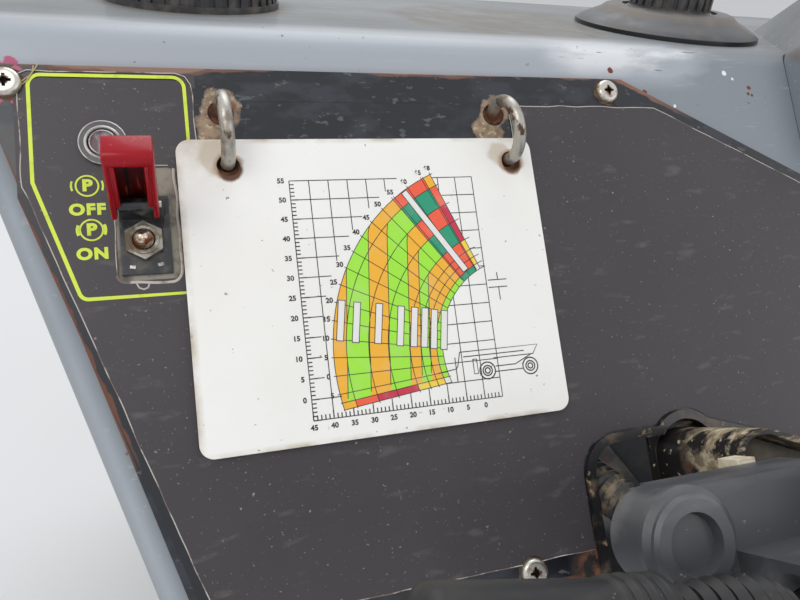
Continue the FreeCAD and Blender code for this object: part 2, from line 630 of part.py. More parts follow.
case = case.cut(Part.makeSphere(LEVER_BALL + 0.3, LEVER_ROOT))
case = case.cut(Part.makeCone(6.5, 15.0, 14.0, LEVER_ROOT + LEVER_AXIS * 2, LEVER_AXIS))
save("shifter_case", place_panel(case))

boss = turned([(0, 0), (BOSS_RADIUS, 0), (BOSS_RADIUS, 2.2), (BOSS_RADIUS - 2.5, 3.6),
               (BOSS_RADIUS - 2.5, BOSS_HIGH - 1), (BOSS_RADIUS - 4, BOSS_HIGH),
               (10.5, BOSS_HIGH), (9.5, 2.0), (0, 2.0)], BOSS)
boss.translate(V(0, 0, CASE_BOX[5] - DECK_HEIGHT))
save("shifter_boss", place_panel(boss))


# shift lever: ball, stem and folded rubber boot
def on_lever(distance):
    return LEVER_ROOT + LEVER_AXIS * distance


folds = [Part.makeSphere(LEVER_BALL, LEVER_ROOT)]
folds.append(cyl(LEVER_STEM, GRIP_START + 30, LEVER_ROOT, LEVER_AXIS))
for low, radius in BOOT:
    half = BOOT_PITCH / 2
    folds.append(Part.makeCone(radius - 2.0, radius, half, on_lever(low), LEVER_AXIS))
    folds.append(Part.makeCone(radius, radius - 2.0, half, on_lever(low + half), LEVER_AXIS))
save("shift_lever", place_panel(fuse(folds)))

# twist grip: moulded handle that turns on the stem
grip_length = (LEVER_TIP - LEVER_ROOT).Length - GRIP_START
grip = cyl(GRIP_RADIUS, grip_length, V(0, 0, 0))
grip = grip.makeFillet(GRIP_ROUND, top_edges(grip, grip_length))
grip = grip.cut(cyl(LEVER_STEM + RUN, 30 + RUN, V(0, 0, -RUN)))
turn = FreeCAD.Rotation(V(0, 0, 1), LEVER_AXIS)
grip = grip.transformGeometry(FreeCAD.Placement(on_lever(GRIP_START), turn).toMatrix())
save("twist_grip", place_panel(grip))

# two cream wire plugs behind the case
PLUGS = [(76, 85, -52, -44, 11), (64, 73, -57, -49, 10)]     # x and y ranges, length
plugs = []
for x0, x1, y0, y1, length in PLUGS:
    plugs.append(box(x0, x1, y0, y1, CASE_BOX[4] - length, CASE_BOX[4]))
save("wire_plugs", place_panel(Part.makeCompound(plugs)))
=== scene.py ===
import json
import math

import bmesh
import bpy
from mathutils import Matrix, Vector, noise

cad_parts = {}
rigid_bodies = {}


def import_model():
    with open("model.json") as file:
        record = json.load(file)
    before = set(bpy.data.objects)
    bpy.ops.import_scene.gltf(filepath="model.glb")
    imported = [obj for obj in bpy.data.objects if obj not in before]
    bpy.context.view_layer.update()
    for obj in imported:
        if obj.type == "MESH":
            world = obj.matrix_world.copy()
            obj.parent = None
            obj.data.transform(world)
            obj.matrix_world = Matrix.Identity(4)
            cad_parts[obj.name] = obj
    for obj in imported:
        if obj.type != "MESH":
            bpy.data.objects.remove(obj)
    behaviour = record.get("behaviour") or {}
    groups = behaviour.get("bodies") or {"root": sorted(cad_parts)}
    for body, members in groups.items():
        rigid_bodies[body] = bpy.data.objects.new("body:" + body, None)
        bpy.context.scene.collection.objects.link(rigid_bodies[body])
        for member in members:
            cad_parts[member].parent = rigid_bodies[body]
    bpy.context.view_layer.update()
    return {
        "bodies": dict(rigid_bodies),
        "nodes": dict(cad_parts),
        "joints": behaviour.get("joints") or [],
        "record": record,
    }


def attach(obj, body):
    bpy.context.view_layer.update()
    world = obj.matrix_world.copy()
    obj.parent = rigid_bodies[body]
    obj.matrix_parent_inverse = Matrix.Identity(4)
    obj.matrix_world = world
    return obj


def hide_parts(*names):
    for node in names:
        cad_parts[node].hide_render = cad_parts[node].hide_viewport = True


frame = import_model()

nodes = frame["nodes"]

# Housing: the dash itself, one welded shell of 2.5 mm sheet steel folded over the
# knee and the deck, with a raised cowl let in on the right, sprayed grey. Boots,
# dust and weather have scratched the deck's bend and started small rust spots.
# A painted highlight lies along the bend and down the left flank, and painted
# shade darkens the deck top and the inside of the shell.
SLOPE = math.radians(50.5)
PANEL = (Matrix.Translation((-0.122, -0.108811, 0.3)) @ Matrix.Rotation(SLOPE, 4, "X")
         @ Matrix.Scale(0.001, 4))      # millimetres on the sloping face to metres


def seen(red, green, blue):
    """A colour as the eye sees it, 0 to 255, as the shader wants it."""
    return tuple((part / 255) ** 2.2 for part in (red, green, blue)) + (1.0,)


def put(node, **values):
    """Set inputs of a node, with an underscore for each space in their names."""
    for name, value in values.items():
        node.inputs[name.replace("_", " ")].default_value = value


class Finish:
    """A paint, plastic or metal surface, laid on in coats over Object coordinates."""

    def __init__(self, name, colour, rough, metal=0.0, specular=0.5, coat=0.0, frame=PANEL):
        self.material = bpy.data.materials.new(name)
        self.material.use_nodes = True
        self.tree = self.material.node_tree
        self.shader = self.tree.nodes["Principled BSDF"]
        put(self.shader, Base_Color=seen(*colour), Roughness=rough, Metallic=metal,
            Specular_IOR_Level=specular, Coat_Weight=coat)
        source = self.node("TexCoord")
        self.object, self.facing = source.outputs["Object"], source.outputs["Normal"]
        face = self.node("Mapping", vector_type="TEXTURE")
        put(face, Location=frame.translation, Rotation=frame.to_euler(), Scale=frame.to_scale())
        self.join(self.object, face.inputs["Vector"])
        self.face = face.outputs["Vector"]
        split = self.node("SeparateXYZ")
        self.join(self.face, split.inputs[0])
        self.across, self.up, self.out = split.outputs
        world = self.node("SeparateXYZ")
        self.join(self.object, world.inputs[0])
        self.x, self.y, self.z = world.outputs
        self.normal = None

    def node(self, kind, **settings):
        made = self.tree.nodes.new("ShaderNode" + kind)
        for key, value in settings.items():
            setattr(made, key, value)
        return made

    def join(self, start, end):
        if isinstance(start, (int, float, tuple)):
            end.default_value = start
        else:
            self.tree.links.new(start, end)

    def sum(self, operation, first, second):
        made = self.node("Math", operation=operation)
        self.join(first, made.inputs[0])
        self.join(second, made.inputs[1])
        return made.outputs[0]

    def plus(self, first, second):
        return self.sum("ADD", first, second)

    def times(self, first, *others):
        for other in others:
            first = self.sum("MULTIPLY", first, other)
        return first

    def either(self, first, second):
        return self.sum("MAXIMUM", first, second)

    def vector(self, operation, first, second, result="Value"):
        made = self.node("VectorMath", operation=operation)
        self.join(first, made.inputs[0])
        self.join(second, made.inputs[1])
        return made.outputs[result]

    def slanted(self, right, upward):
        """How far out in a slanting direction on the face, in millimetres."""
        return self.plus(self.times(self.across, right), self.times(self.up, upward))

    def fade(self, value, nothing, full):
        """0 where the value is at nothing, 1 where it is at full, clamped."""
        made = self.node("MapRange")
        self.join(value, made.inputs["Value"])
        put(made, From_Min=nothing, From_Max=full)
        return made.outputs[0]

    def between(self, value, low, high, soft):
        rise = self.fade(value, low - soft, low + soft)
        return self.times(rise, self.fade(value, high + soft, high - soft))

    def noise(self, size, detail=4.0, stretch=(1, 1, 1), seed=0.0, rough=0.55):
        """Cloudy pattern whose blots are about this many millimetres across."""
        spread = self.node("Mapping")
        put(spread, Scale=[0.4 / size / side for side in stretch],
            Location=(seed, seed * 0.7, seed * 1.3))
        self.join(self.face, spread.inputs["Vector"])
        made = self.node("TexNoise")
        put(made, Scale=1.0, Detail=detail, Roughness=rough)
        self.join(spread.outputs["Vector"], made.inputs["Vector"])
        return made.outputs[0]

    def wander(self, reach, size, *pattern, **more):
        """A cloudy pattern that swings about zero, over this reach in all."""
        return self.times(self.sum("SUBTRACT", self.noise(size, *pattern, **more), 0.5), reach)

    def spots(self, places, ragged=0.35, size=3.0):
        """Ragged spots at (x, y, z, radius) in millimetres on the sloping face."""
        edge = self.wander(2 * ragged, size, seed=places[0][0])
        whole = None
        for x, y, z, radius in places:
            gap = self.vector("DISTANCE", self.face, (x, y, z))
            reach = self.plus(self.times(gap, 1 / radius), edge)
            spot = self.fade(reach, 1.0, 0.75)
            whole = spot if whole is None else self.either(whole, spot)
        return whole

    def coat(self, mask, colour, rough=None):
        """Another colour, and if given another roughness, where the mask is 1."""
        for name, value, kind, ports in (("Base Color", seen(*colour), "RGBA", (6, 7, 2)),
                                         ("Roughness", rough, "FLOAT", (2, 3, 0))):
            if value is None:
                continue
            socket = self.shader.inputs[name]
            mix = self.node("Mix", data_type=kind)
            self.join(mask, mix.inputs[0])
            if socket.is_linked:
                self.join(socket.links[0].from_socket, mix.inputs[ports[0]])
            else:
                mix.inputs[ports[0]].default_value = socket.default_value
            mix.inputs[ports[1]].default_value = value
            self.join(mix.outputs[ports[2]], socket)
        return self

    def blots(self, size, low, high, colour, rough=None, within=None, **pattern):
        """Blots of another colour that come up where the cloudy pattern passes low."""
        mask = self.fade(self.noise(size, **pattern), low, high)
        if within is not None:
            mask = self.times(within, mask)
        return self.coat(mask, colour, rough)

    def relief(self, height, depth):
        """Bumps of this depth in millimetres where the height is 1."""
        bump = self.node("Bump")
        put(bump, Distance=depth / 1000)
        self.join(height, bump.inputs["Height"])
        if self.normal:
            self.join(self.normal, bump.inputs["Normal"])
        self.normal = bump.outputs[0]
        self.join(self.normal, self.shader.inputs["Normal"])
        return self

    def dusty(self, amount, colour=(150, 138, 120), size=9.0, seed=3.0):
        """Thin dust in soft clouds, the heaviest about this strong."""
        return self.blots(size, 0.45, 0.8, colour, 0.75, amount, detail=6.0, seed=seed)


def dress(name, finish, bevel=0.0, crease=32):
    """Give a CAD node its finish, smooth shading and, if asked, broken edges."""
    mesh = nodes[name].data
    mesh.materials.clear()
    mesh.materials.append(finish.material)
    mesh.polygons.foreach_set("use_smooth", [True] * len(mesh.polygons))
    weld = nodes[name].modifiers.new("weld", "WELD")
    weld.merge_threshold = 0.00001
    if bevel:
        edge = nodes[name].modifiers.new("edge", "BEVEL")
        edge.width = bevel / 1000
        edge.segments = 2
        edge.limit_method = "ANGLE"
        edge.angle_limit = math.radians(40)
    split = nodes[name].modifiers.new("split", "EDGE_SPLIT")
    split.split_angle = math.radians(crease)
    nodes[name].modifiers.new("flat faces stay flat", "WEIGHTED_NORMAL")


def add_piece(name, bm, finish, body, place=PANEL, crease=35):
    """Make a piece of the mesh that rides on a body, with its place in the mesh."""
    bmesh.ops.transform(bm, matrix=place, verts=bm.verts)
    mesh = bpy.data.meshes.new(name)
    bm.to_mesh(mesh)
    bm.free()
    mesh.materials.append(finish.material)
    mesh.polygons.foreach_set("use_smooth", [True] * len(mesh.polygons))
    mesh.set_sharp_from_angle(angle=math.radians(crease))
    piece = bpy.data.objects.new(name, mesh)
    bpy.context.scene.collection.objects.link(piece)
    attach(piece, body)
    return piece


DECK_HEIGHT = 0.428         # metres above the cab floor
FACE_Z, PLATE_Z, FILM_Z = -7, -4, -3.5      # sheet, plate and film, in millimetres from the card
PLATE_LEFT = (0.9549, 0.2971)               # square to the left edge of the plate
RUST = (112, 62, 42)

grey = Finish("grey sprayed paint", (134, 141, 147), 0.38, specular=0.38, coat=0.08)
grey.blots(90, 0.35, 0.75, (127, 134, 140), 0.42)
grey.blots(1.2, 0.62, 0.75, (156, 160, 164), within=0.25, detail=2.0, seed=5)
deck_top = grey.fade(grey.z, DECK_HEIGHT - 0.004, DECK_HEIGHT)
cloud = grey.fade(grey.noise(24, 6.0, (2.5, 1, 1), 9), 0.42, 0.7)
# Painted shade: the deck top gets a darker, duller grey, partly a dusty tone and partly shade that keeps
# the top-lit deck darker than the face
grey.coat(grey.times(deck_top, grey.plus(0.5, grey.times(cloud, 0.45))), (106, 107, 106), 0.65)
tan_band = grey.times(deck_top, grey.between(grey.y, -0.042, 0.004, 0.012), 0.7)
grey.blots(26, 0.3, 0.75, (140, 124, 116), 0.7, tan_band, detail=6.0, stretch=(7, 1, 1), seed=11)
grey.blots(1.4, 0.64, 0.68, (184, 186, 186), 0.3, within=0.28, detail=5.0, stretch=(12, 1, 1), seed=13)
foot_dirt = grey.times(grey.fade(grey.noise(6, 7.0, seed=41), 0.3, 0.8), 0.85)
for x, y, reach in ((-0.050, 0.078, 0.060), (-0.231, 0.094, 0.047)):
    gap = grey.vector("DISTANCE", grey.object, (x, y, DECK_HEIGHT))
    grey.coat(grey.times(deck_top, grey.fade(gap, reach + 0.012, reach), foot_dirt), (122, 112, 98), 0.85)
# Painted highlight: a pale band along the deck's bend where the sky reflects, its ragged end fading out to
# the right
highlight_end = grey.plus(grey.across, grey.wander(110.0, 10, 6.0, (3, 1, 1), 71))
front = grey.times(grey.fade(grey.out, -62, -50), grey.fade(grey.across, -222, -206))
bend_highlight = grey.times(grey.between(grey.up, 150, 182, 5), front, grey.fade(highlight_end, 178, 150), 0.75)
grey.coat(bend_highlight, (172, 177, 184), 0.32)
scuff = grey.times(grey.between(grey.up, 156, 174, 5), front, grey.between(highlight_end, 70, 172, 20))
grey.blots(7, 0.44, 0.6, (214, 216, 218), 0.45, scuff, detail=7.0, stretch=(4, 1, 1), seed=27)
grey.blots(0.9, 0.66, 0.69, (92, 96, 104), 0.5, scuff, detail=5.0, stretch=(8, 1, 1), seed=21)
white_specks = [(179.9, 157.5, FACE_Z, 1.8), (141.2, 136.9, FACE_Z, 1.2), (185, 154, FACE_Z, 0.9)]
grey.coat(grey.spots(white_specks, 0.6, 1.5), (235, 235, 232), 0.5)
pink = [(-187, 152, FACE_Z, 3.6), (-192, 151, FACE_Z, 2.6)]
grey.coat(grey.spots(pink, 1.1, 2.0), (172, 84, 114), 0.5)
# Painted highlight: a pale streak down the left flank beside the plate's left edge, where the rounded edge
# catches the light
flank = grey.times(grey.between(grey.slanted(*PLATE_LEFT), -161, -152, 3.0),
                   grey.fade(grey.out, -22, -14), grey.fade(grey.up, 130, 90))
flank_highlight = grey.plus(0.45, grey.times(grey.fade(grey.noise(14, 6.0, (1, 5, 1), 81), 0.4, 0.7), 0.35))
grey.coat(grey.times(flank, flank_highlight), (170, 177, 184), 0.4)
rust_spots = [(103, 157.2, FACE_Z, 1.9), (123, 144.8, FACE_Z, 1.5), (195.9, 148.6, FACE_Z, 1.7),
              (194.4, 145.0, FACE_Z, 1.1), (197, 144.3, FACE_Z, 1.0), (-150, 158, -10, 1.6),
              (60, 160, -10, 1.2), (240, 40, 5, 2.0), (300, 170, 9, 2.0), (-120, -120, FACE_Z, 2.6),
              (250, -125, FACE_Z, 2.2), (20, -115, FACE_Z, 2.0)]
grey.coat(grey.spots(rust_spots, 0.8, 1.5), RUST, 0.8)
grey.blots(2.0, 0.71, 0.74, (120, 84, 66), 0.8, within=0.8, detail=3.0, seed=31)
low_dirt = grey.fade(grey.z, 0.12, 0.0)
grey.blots(9, 0.4, 0.65, (142, 132, 116), 0.85, within=low_dirt, detail=7.0, seed=17)
# Painted shade: the inner faces of the shell go near black, with dusty blots, as the closed inside of the
# dash lies in shade
outward = grey.vector("SUBTRACT", grey.object, (0, 0.05, 0.25), "Vector")
turned_in = grey.fade(grey.vector("DOT_PRODUCT", outward, grey.facing), -0.002, -0.004)
inside = grey.times(turned_in, grey.fade(grey.out, FACE_Z + 0.6, FACE_Z + 0.1),
                    grey.fade(grey.z, DECK_HEIGHT + 0.0005, DECK_HEIGHT + 0.0001))
grey.coat(inside, (58, 59, 61), 0.75)
grey.blots(20, 0.55, 0.75, (92, 86, 78), 0.85, within=inside, detail=7.0, seed=51)
grey.relief(grey.noise(1.6, 2.0, seed=2), 0.03)
dress("housing", grey, crease=30)

# Floor flange: flat bar frame welded inside the lower rim, with a bolt hole at each
# corner and halfway along each side, in dark primer dirty from the cab floor, its
# colour darkened further as painted shade inside the dash.
primer = Finish("dark primer and painted shade", (40, 41, 43), 0.6)
primer.blots(12, 0.48, 0.7, (160, 146, 126), 0.85, within=0.35, detail=7.0)
primer.blots(6, 0.62, 0.66, RUST, 0.85, detail=5.0, seed=8)
dress("floor_flange", primer, 0.4)

# Switch plate: 3 mm steel sheet over the sloping face, painted gloss black. Its top
# edge has lost paint and rusted, and mud has dried round the ring holes.
HOLES = [(-105.0, 131.5), (-104.2, 103.0), (27.2, 131.5), (30.8, 103.5)]
black = Finish("black gloss paint", (22, 26, 34), 0.28, coat=0.15)
black.blots(5, 0.5, 0.6, (40, 44, 53), 0.42, detail=7.0, stretch=(2, 1, 1))
black.blots(1.3, 0.62, 0.68, (96, 97, 98), 0.7, within=0.6, stretch=(2, 1, 1), seed=6)
ragged = black.wander(16.0, 9, 6.0, (3, 1, 1), 19)
top = black.plus(black.plus(black.up, ragged), black.times(black.fade(black.across, -108, -122), 1.6))
black.coat(black.fade(top, 149.0, 149.6), (112, 80, 68), 0.85)
black.coat(black.times(black.fade(top, 150.2, 150.8), 0.7), (150, 122, 108), 0.9)
chamfer = black.plus(black.plus(black.times(black.across, 0.5007), black.up), ragged)
bruise = black.times(black.fade(chamfer, 199.6, 200.6), black.fade(black.across, 150, 120))
black.coat(bruise, (132, 96, 80), 0.85)
black.coat(black.fade(chamfer, 204.2, 204.8), (168, 110, 66), 0.85)
rotten = black.fade(black.plus(black.slanted(*PLATE_LEFT), black.times(ragged, 0.3)), -147.6, -148.3)
black.coat(black.times(rotten, black.between(black.up, -15, 118, 8)), (116, 80, 66), 0.9)
pink = [(-184.6, 147.6, PLATE_Z, 3.4), (-192.6, 135.6, PLATE_Z, 3.0), (-186.0, 134.6, PLATE_Z, 1.6)]
black.coat(black.spots(pink, 1.0, 2.0), (172, 78, 112), 0.5)
foot = black.fade(black.plus(black.up, black.times(ragged, 0.6)), -92, -94)
black.coat(black.times(foot, black.between(black.across, 16, 62, 5)), (160, 84, 60), 0.85)
black.coat(black.times(black.between(black.across, 34, 62, 3), black.between(black.up, -99, -82, 4)),
           (30, 28, 27), 0.6)
corner = black.times(black.between(black.across, 38, 64, 6), black.fade(black.up, -74, -86))
black.blots(3.5, 0.44, 0.56, (128, 84, 64), 0.9, corner, detail=7.0, seed=61)
around = [(x, y, PLATE_Z, 9.5) for x, y in HOLES] + [(x - 3, y - 9, PLATE_Z, 9.0) for x, y in HOLES]
mud = black.spots(around, 1.1, 5.0)
black.coat(mud, (160, 140, 118), 0.85)
black.blots(2, 0.42, 0.6, (124, 102, 82), 0.9, mud, detail=7.0, seed=29)
black.blots(1, 0.56, 0.62, (186, 168, 142), 0.9, mud, detail=5.0, seed=39)
rubbed = [(x + 1, y - 1, PLATE_Z, 6.0) for x, y in HOLES]
black.coat(black.spots(rubbed, 0.9, 3.0), (134, 92, 66), 0.85)
window = black.times(black.between(black.across, -152.0, -126.0, 0.3),
                     black.between(black.up, 56.0, 106.0, 0.3))
black.coat(window, (150, 144, 130), 0.85)
black.blots(3, 0.46, 0.64, (92, 86, 78), 0.85, window, detail=6.0, seed=23)
margin = black.times(black.between(black.across, -187.5, -115.0, 0.5),
                     black.between(black.up, 141.0, 147.6, 0.3))
black.coat(margin, (60, 57, 60), 0.45)
black.relief(black.noise(2.4, 3.0, seed=4), 0.06)
dress("switch_plate", black, 0.3)

# Printed film: charcoal polycarbonate sheet stuck on the plate, cut out round the
# switch, rings and screws. Its cut edge has gone white where it lifts, and dust
# and fine scratches dull its face.
film = Finish("charcoal film", (60, 57, 60), 0.42, specular=0.42)
film.blots(55, 0.35, 0.75, (69, 66, 69), 0.5)
film.blots(2.6, 0.6, 0.72, (112, 108, 106), 0.6, within=0.35, detail=5.0, stretch=(3, 1, 1), seed=12)
film.blots(1.0, 0.72, 0.76, (140, 136, 130), 0.8, detail=2.0, seed=25)
film.blots(0.5, 0.7, 0.74, (128, 124, 120), 0.8, detail=2.0, seed=35)
from_left = film.slanted(0.9458, 0.3249)
trimmed = film.times(film.fade(from_left, -142.4, -142.7), film.fade(film.up, 96, 94))
film.coat(trimmed, (34, 38, 44), 0.35)
blister = film.plus(from_left, film.wander(5.0, 4, 7.0, seed=45))
rusted = film.times(film.fade(blister, -144.9, -145.5), film.between(film.up, -12, 92, 8))
film.coat(film.times(trimmed, rusted), (112, 76, 64), 0.9)
film.relief(film.noise(0.7, 2.0), 0.01)
dress("switch_plate_film", film, crease=20)

OUTLINE = [(46, -84), (-121.9, -84), (-182.9, 93.4), (-184.6, 97.5), (-184.8, 140), (-184.8, 145.8),
           (-181, 147.6), (-123, 147.6), (-119, 146.2), (-117, 142.6), (-116.4, 138), (-116.4, 110),
           (36, 110), (36, 129.2), (37.5, 132.8), (41, 134.2), (123.4, 134.2), (391, 3.4), (365.5, -84),
           (201.5, -84)]


def mesh_of(curve):
    """Turn a curve or letters into mesh and clear the curve away."""
    thing = bpy.data.objects.new("curve", curve)
    bpy.context.scene.collection.objects.link(thing)
    bpy.context.view_layer.update()
    mesh = bpy.data.meshes.new_from_object(thing)
    bpy.data.objects.remove(thing)
    bpy.data.curves.remove(curve)
    return mesh


def print_curve(bm, curve, place):
    """Add a curve or letters at a place on the face."""
    mesh = mesh_of(curve)
    mesh.transform(place)
    bm.from_mesh(mesh)
    bpy.data.meshes.remove(mesh)


def trace(bm, paths, width, z, closed=False, thick=0.08):
    """Add flat lines along paths of (x, y) points."""
    curve = bpy.data.curves.new("line", "CURVE")
    curve.dimensions = "3D"
    curve.twist_mode = "Z_UP"
    curve.bevel_depth = width / 2
    curve.bevel_resolution = 0
    curve.use_fill_caps = True
    for points in paths:
        line = curve.splines.new("POLY")
        line.points.add(len(points) - 1)
        for point, (x, y) in zip(line.points, points):
            point.co = (x, y, 0, 1)
        line.use_cyclic_u = closed
    print_curve(bm, curve, Matrix.Translation((0, 0, z)) @ Matrix.Diagonal((1, 1, thick, 1)))


def write(bm, words, size, x, y, z, bold=0.0, side="CENTER", broad=1.0):
    """Add letters or numbers, centred on a point of the face."""
    letters = bpy.data.curves.new("letters", "FONT")
    letters.body = words
    letters.size = size
    letters.offset = bold
    letters.extrude = 0.01
    letters.space_character = 1 + bold / 2
    letters.align_x = side
    letters.align_y = "CENTER"
    print_curve(bm, letters, Matrix.Translation((x, y, z)) @ Matrix.Diagonal((broad, 1, 1, 1)))


def arc(x, y, radius, start, end, steps=16):
    """Points of an arc, angles in degrees."""
    angles = [math.radians(start + (end - start) * k / steps) for k in range(steps + 1)]
    return [(x + radius * math.cos(a), y + radius * math.sin(a)) for a in angles]


def circle(x, y, radius, steps):
    """Points of a full circle, for a closed line."""
    return arc(x, y, radius, 0, 360, steps)[:-1]


def waver(points, step=2.5, reach=0.35):
    """The same line with more points, each a little off, as a cut by hand is."""
    wavy = [points[0]]
    for (x0, y0), (x1, y1) in zip(points[:-1], points[1:]):
        parts = max(1, round(math.dist((x0, y0), (x1, y1)) / step))
        for k in range(1, parts + 1):
            x, y = x0 + (x1 - x0) * k / parts, y0 + (y1 - y0) * k / parts
            off = noise.noise((x * 0.09, y * 0.09, 0.5)) * reach * 2
            wavy.append((x + off, y - off))
    return wavy


whitened = Finish("whitened film edge", (196, 186, 176), 0.7)
whitened.blots(5, 0.5, 0.6, (118, 106, 98), 0.8, detail=5.0)
bm = bmesh.new()
trace(bm, [waver(OUTLINE)], 0.42, FILM_Z, thick=0.6)
trace(bm, [waver([(-151.4, 58.2), (-151.4, 105.2), (-128.6, 105.4)])], 0.4, FILM_Z, thick=0.6)
trace(bm, [waver(arc(-148.0, 59.2, 3.4, 180, 270, 5) + arc(-130.2, 59.2, 3.8, 270, 360, 5)
                 + [(-126.4, 104.0)], 2.0, 0.5)], 1.1, FILM_Z, thick=0.4)
trace(bm, [[(-144.7, 56.0), (-143.6, 53.6), (-141.8, 52.8), (-140.2, 53.4), (-139.2, 55.9)]], 0.7,
      FILM_Z, thick=0.8)
add_piece("film_edge", bm, whitened, "console")

# Straw: a broken stalk of dry grass that has caught under the film's lifted corner.
straw = Finish("dry straw", (186, 168, 122), 0.7)
straw.blots(1.5, 0.45, 0.6, (140, 118, 80), 0.8, detail=3.0)
bm = bmesh.new()
trace(bm, [[(-184.6, 139.0), (-180.4, 143.6), (-176.5, 150.2)],
           [(-181.0, 142.8), (-178.6, 147.0), (-178.3, 149.4)],
           [(-186.2, 139.6), (-181.5, 143.6), (-179.6, 145.2)]], 0.5, -3.1, thick=0.7)
add_piece("straw", bm, straw, "console")

# Printing on the film: a yellow-green frame round the park brake switch, and a P in
# a circle between brake shoes over each of OFF and ON, screened on.
ink = Finish("yellow-green ink", (212, 232, 70), 0.45)
ink.blots(3, 0.55, 0.7, (190, 208, 66), 0.55)
bm = bmesh.new()
frame_line = (arc(-176, 140.9, 4.8, 90, 180, 6) + [(-180.8, 99.2), (-166.5, 54.5)]
              + arc(-162.6, 53.6, 3.4, 200, 270, 5) + [(-119.6, 50.2)] + [(-119.6, 140)]
              + arc(-124.4, 140.9, 4.8, 0, 90, 6))
trace(bm, [frame_line], 1.5, FILM_Z, closed=True)
for x, y, reach, lean, wide in ((-160.8, 97.4, 6.0, 20, 0.8), (-160.1, 78.7, 5.3, 24, 1.2)):
    trace(bm, [circle(x, y, 4.3, 32)], 0.7, FILM_Z, closed=True)
    trace(bm, [arc(x, y, reach, -lean, lean, 8), arc(x, y, reach, 180 - lean, 180 + lean, 8)], wide,
          FILM_Z)
    write(bm, "P", 6.6, x, y, FILM_Z, bold=0.34, broad=1.12)
for word, x, y in (("OFF", -161.2, 87.2), ("ON", -160.2, 68.6)):
    write(bm, word, 6.3, x, y, FILM_Z, bold=0.34, broad=1.12)
add_piece("park_brake_printing", bm, ink, "console")

# Column opening's edge: the plate's sheet rolled over the cut, painted black, with
# a line of beige dirt caught along it.
rolled = Finish("rolled black edge", (30, 31, 34), 0.35, coat=0.3)
rolled.blots(4, 0.52, 0.68, (122, 104, 84), 0.85, within=0.5, detail=8.0, seed=7)
rolled.blots(2, 0.62, 0.68, (140, 118, 92), 0.85, detail=6.0, seed=17)
dress("opening_edge", rolled, 0.6)

# Plate screws: zinc plated pan heads with a cross recess that is full of dirt.
zinc = Finish("zinc plate", (200, 196, 188), 0.3, metal=0.85)
zinc.blots(2.2, 0.52, 0.66, (150, 132, 112), 0.6, detail=5.0)
SCREWS = [(-189.0, 141.8), (95.3, 142.6), (13.1, -87.9), (-112.0, -90.5), (356.0, -90.5), (379.0, 2.0)]
recesses = [(x, y, -2.2, 2.9) for x, y in SCREWS]
zinc.coat(zinc.spots(recesses, 0.25, 2.0), (58, 46, 38), 0.9)
dress("plate_screws", zinc, 0.15)
grime = Finish("grime round the screws", (70, 58, 48), 0.9)
grime.blots(2.0, 0.45, 0.6, (112, 88, 66), 0.95, detail=5.0)
GRIME_RADIUS = 6.6
bm = bmesh.new()
for x, y in SCREWS:
    ragged = []
    for k, (px, py) in enumerate(circle(x, y, GRIME_RADIUS, 28)):
        swell = (0.35 * math.sin(k * 2.1 + x) + 0.25 * math.sin(k * 4.7 + y)) / GRIME_RADIUS
        ragged.append((px + (px - x) * swell, py + (py - y) * swell))
    trace(bm, [ragged], 1.3, PLATE_Z + 0.1, closed=True, thick=0.35)
add_piece("screw_grime", bm, grime, "console")

# Chart card: white laminated sheet with rounded corners, hung on two rings. Dust
# has greyed it and rust from the rings has run down from the punched holes.
laminate = Finish("laminated white card", (244, 243, 238), 0.32, coat=0.25)
laminate.blots(30, 0.4, 0.75, (236, 234, 227), 0.42, detail=5.0)
ends = laminate.either(laminate.fade(laminate.across, -80, -120), laminate.fade(laminate.across, 15, 38))
corners = laminate.times(laminate.fade(laminate.up, 88, 116), ends)
laminate.blots(9, 0.35, 0.7, (192, 178, 158), 0.7, corners, detail=6.0, seed=4)
laminate.blots(1.3, 0.71, 0.75, (150, 134, 118), 0.8, detail=3.0, seed=14)
rims = laminate.either(laminate.fade(laminate.across, -122.0, -125.2),
                       laminate.fade(laminate.up, -16.2, -18.6))
rims = laminate.either(rims, laminate.fade(laminate.up, 113.2, 115.6))
laminate.blots(8, 0.4, 0.66, (186, 172, 150), 0.7, rims, detail=6.0, seed=24)
stains = laminate.spots([(-108.5, 107.5, 0, 9.0), (25.5, 108.0, 0, 8.0)], 0.9, 7.0)
laminate.coat(laminate.times(stains, 0.55), (190, 172, 144), 0.75)
runs = laminate.spots([(-104.2, 103.2, 0, 7.4), (30.6, 103.4, 0, 7.0)], 0.4, 4.0)
laminate.coat(runs, (176, 150, 126), 0.8)
punched = laminate.spots([(-103.4, 101.6, 0, 5.6), (31.4, 102.0, 0, 5.5)], 0.3, 3.0)
laminate.coat(punched, (96, 66, 50), 0.85)
dress("chart_card", laminate, 0.35)

# Chart on the card: fan of coloured bands that cross a grid, with plain numbers
# along both axes and round the arc, screened under the laminate. Its strips are
# blank, and a machine seen from the side stands at the corner of the grid.
CHART = PANEL @ Matrix.Scale(1.75, 4)       # one division of the chart is 1.75 mm
ARC_X, ARC_Y = 13.6, 8.0                    # middle of the arcs
PIVOT_Y = 5.0                               # height that the boom lines start from
BOOM_SLOPE = 2.475                          # of the fan's last boom line
FAN_TOP, STRIPES_TOP, BOOM_TOP = 54.3, 65.6, 68.0      # boom angles where the colours change
FOOT_X, FOOT_Y, FOOT_SLOPE = -8.6, 0.2, 0.126           # line along the fan's foot
ARCS = [52.1, 48.8, 43.1, 38.0, 32.3, 29.3, 27.1, 25.1, 23.5]
LEAN = 0.1                                  # how fast a band's edge leans right as it rises
BAND_Z, STRIP_Z, NUMBER_Z = 0.015, 0.055, 0.03          # heights over the card, in divisions
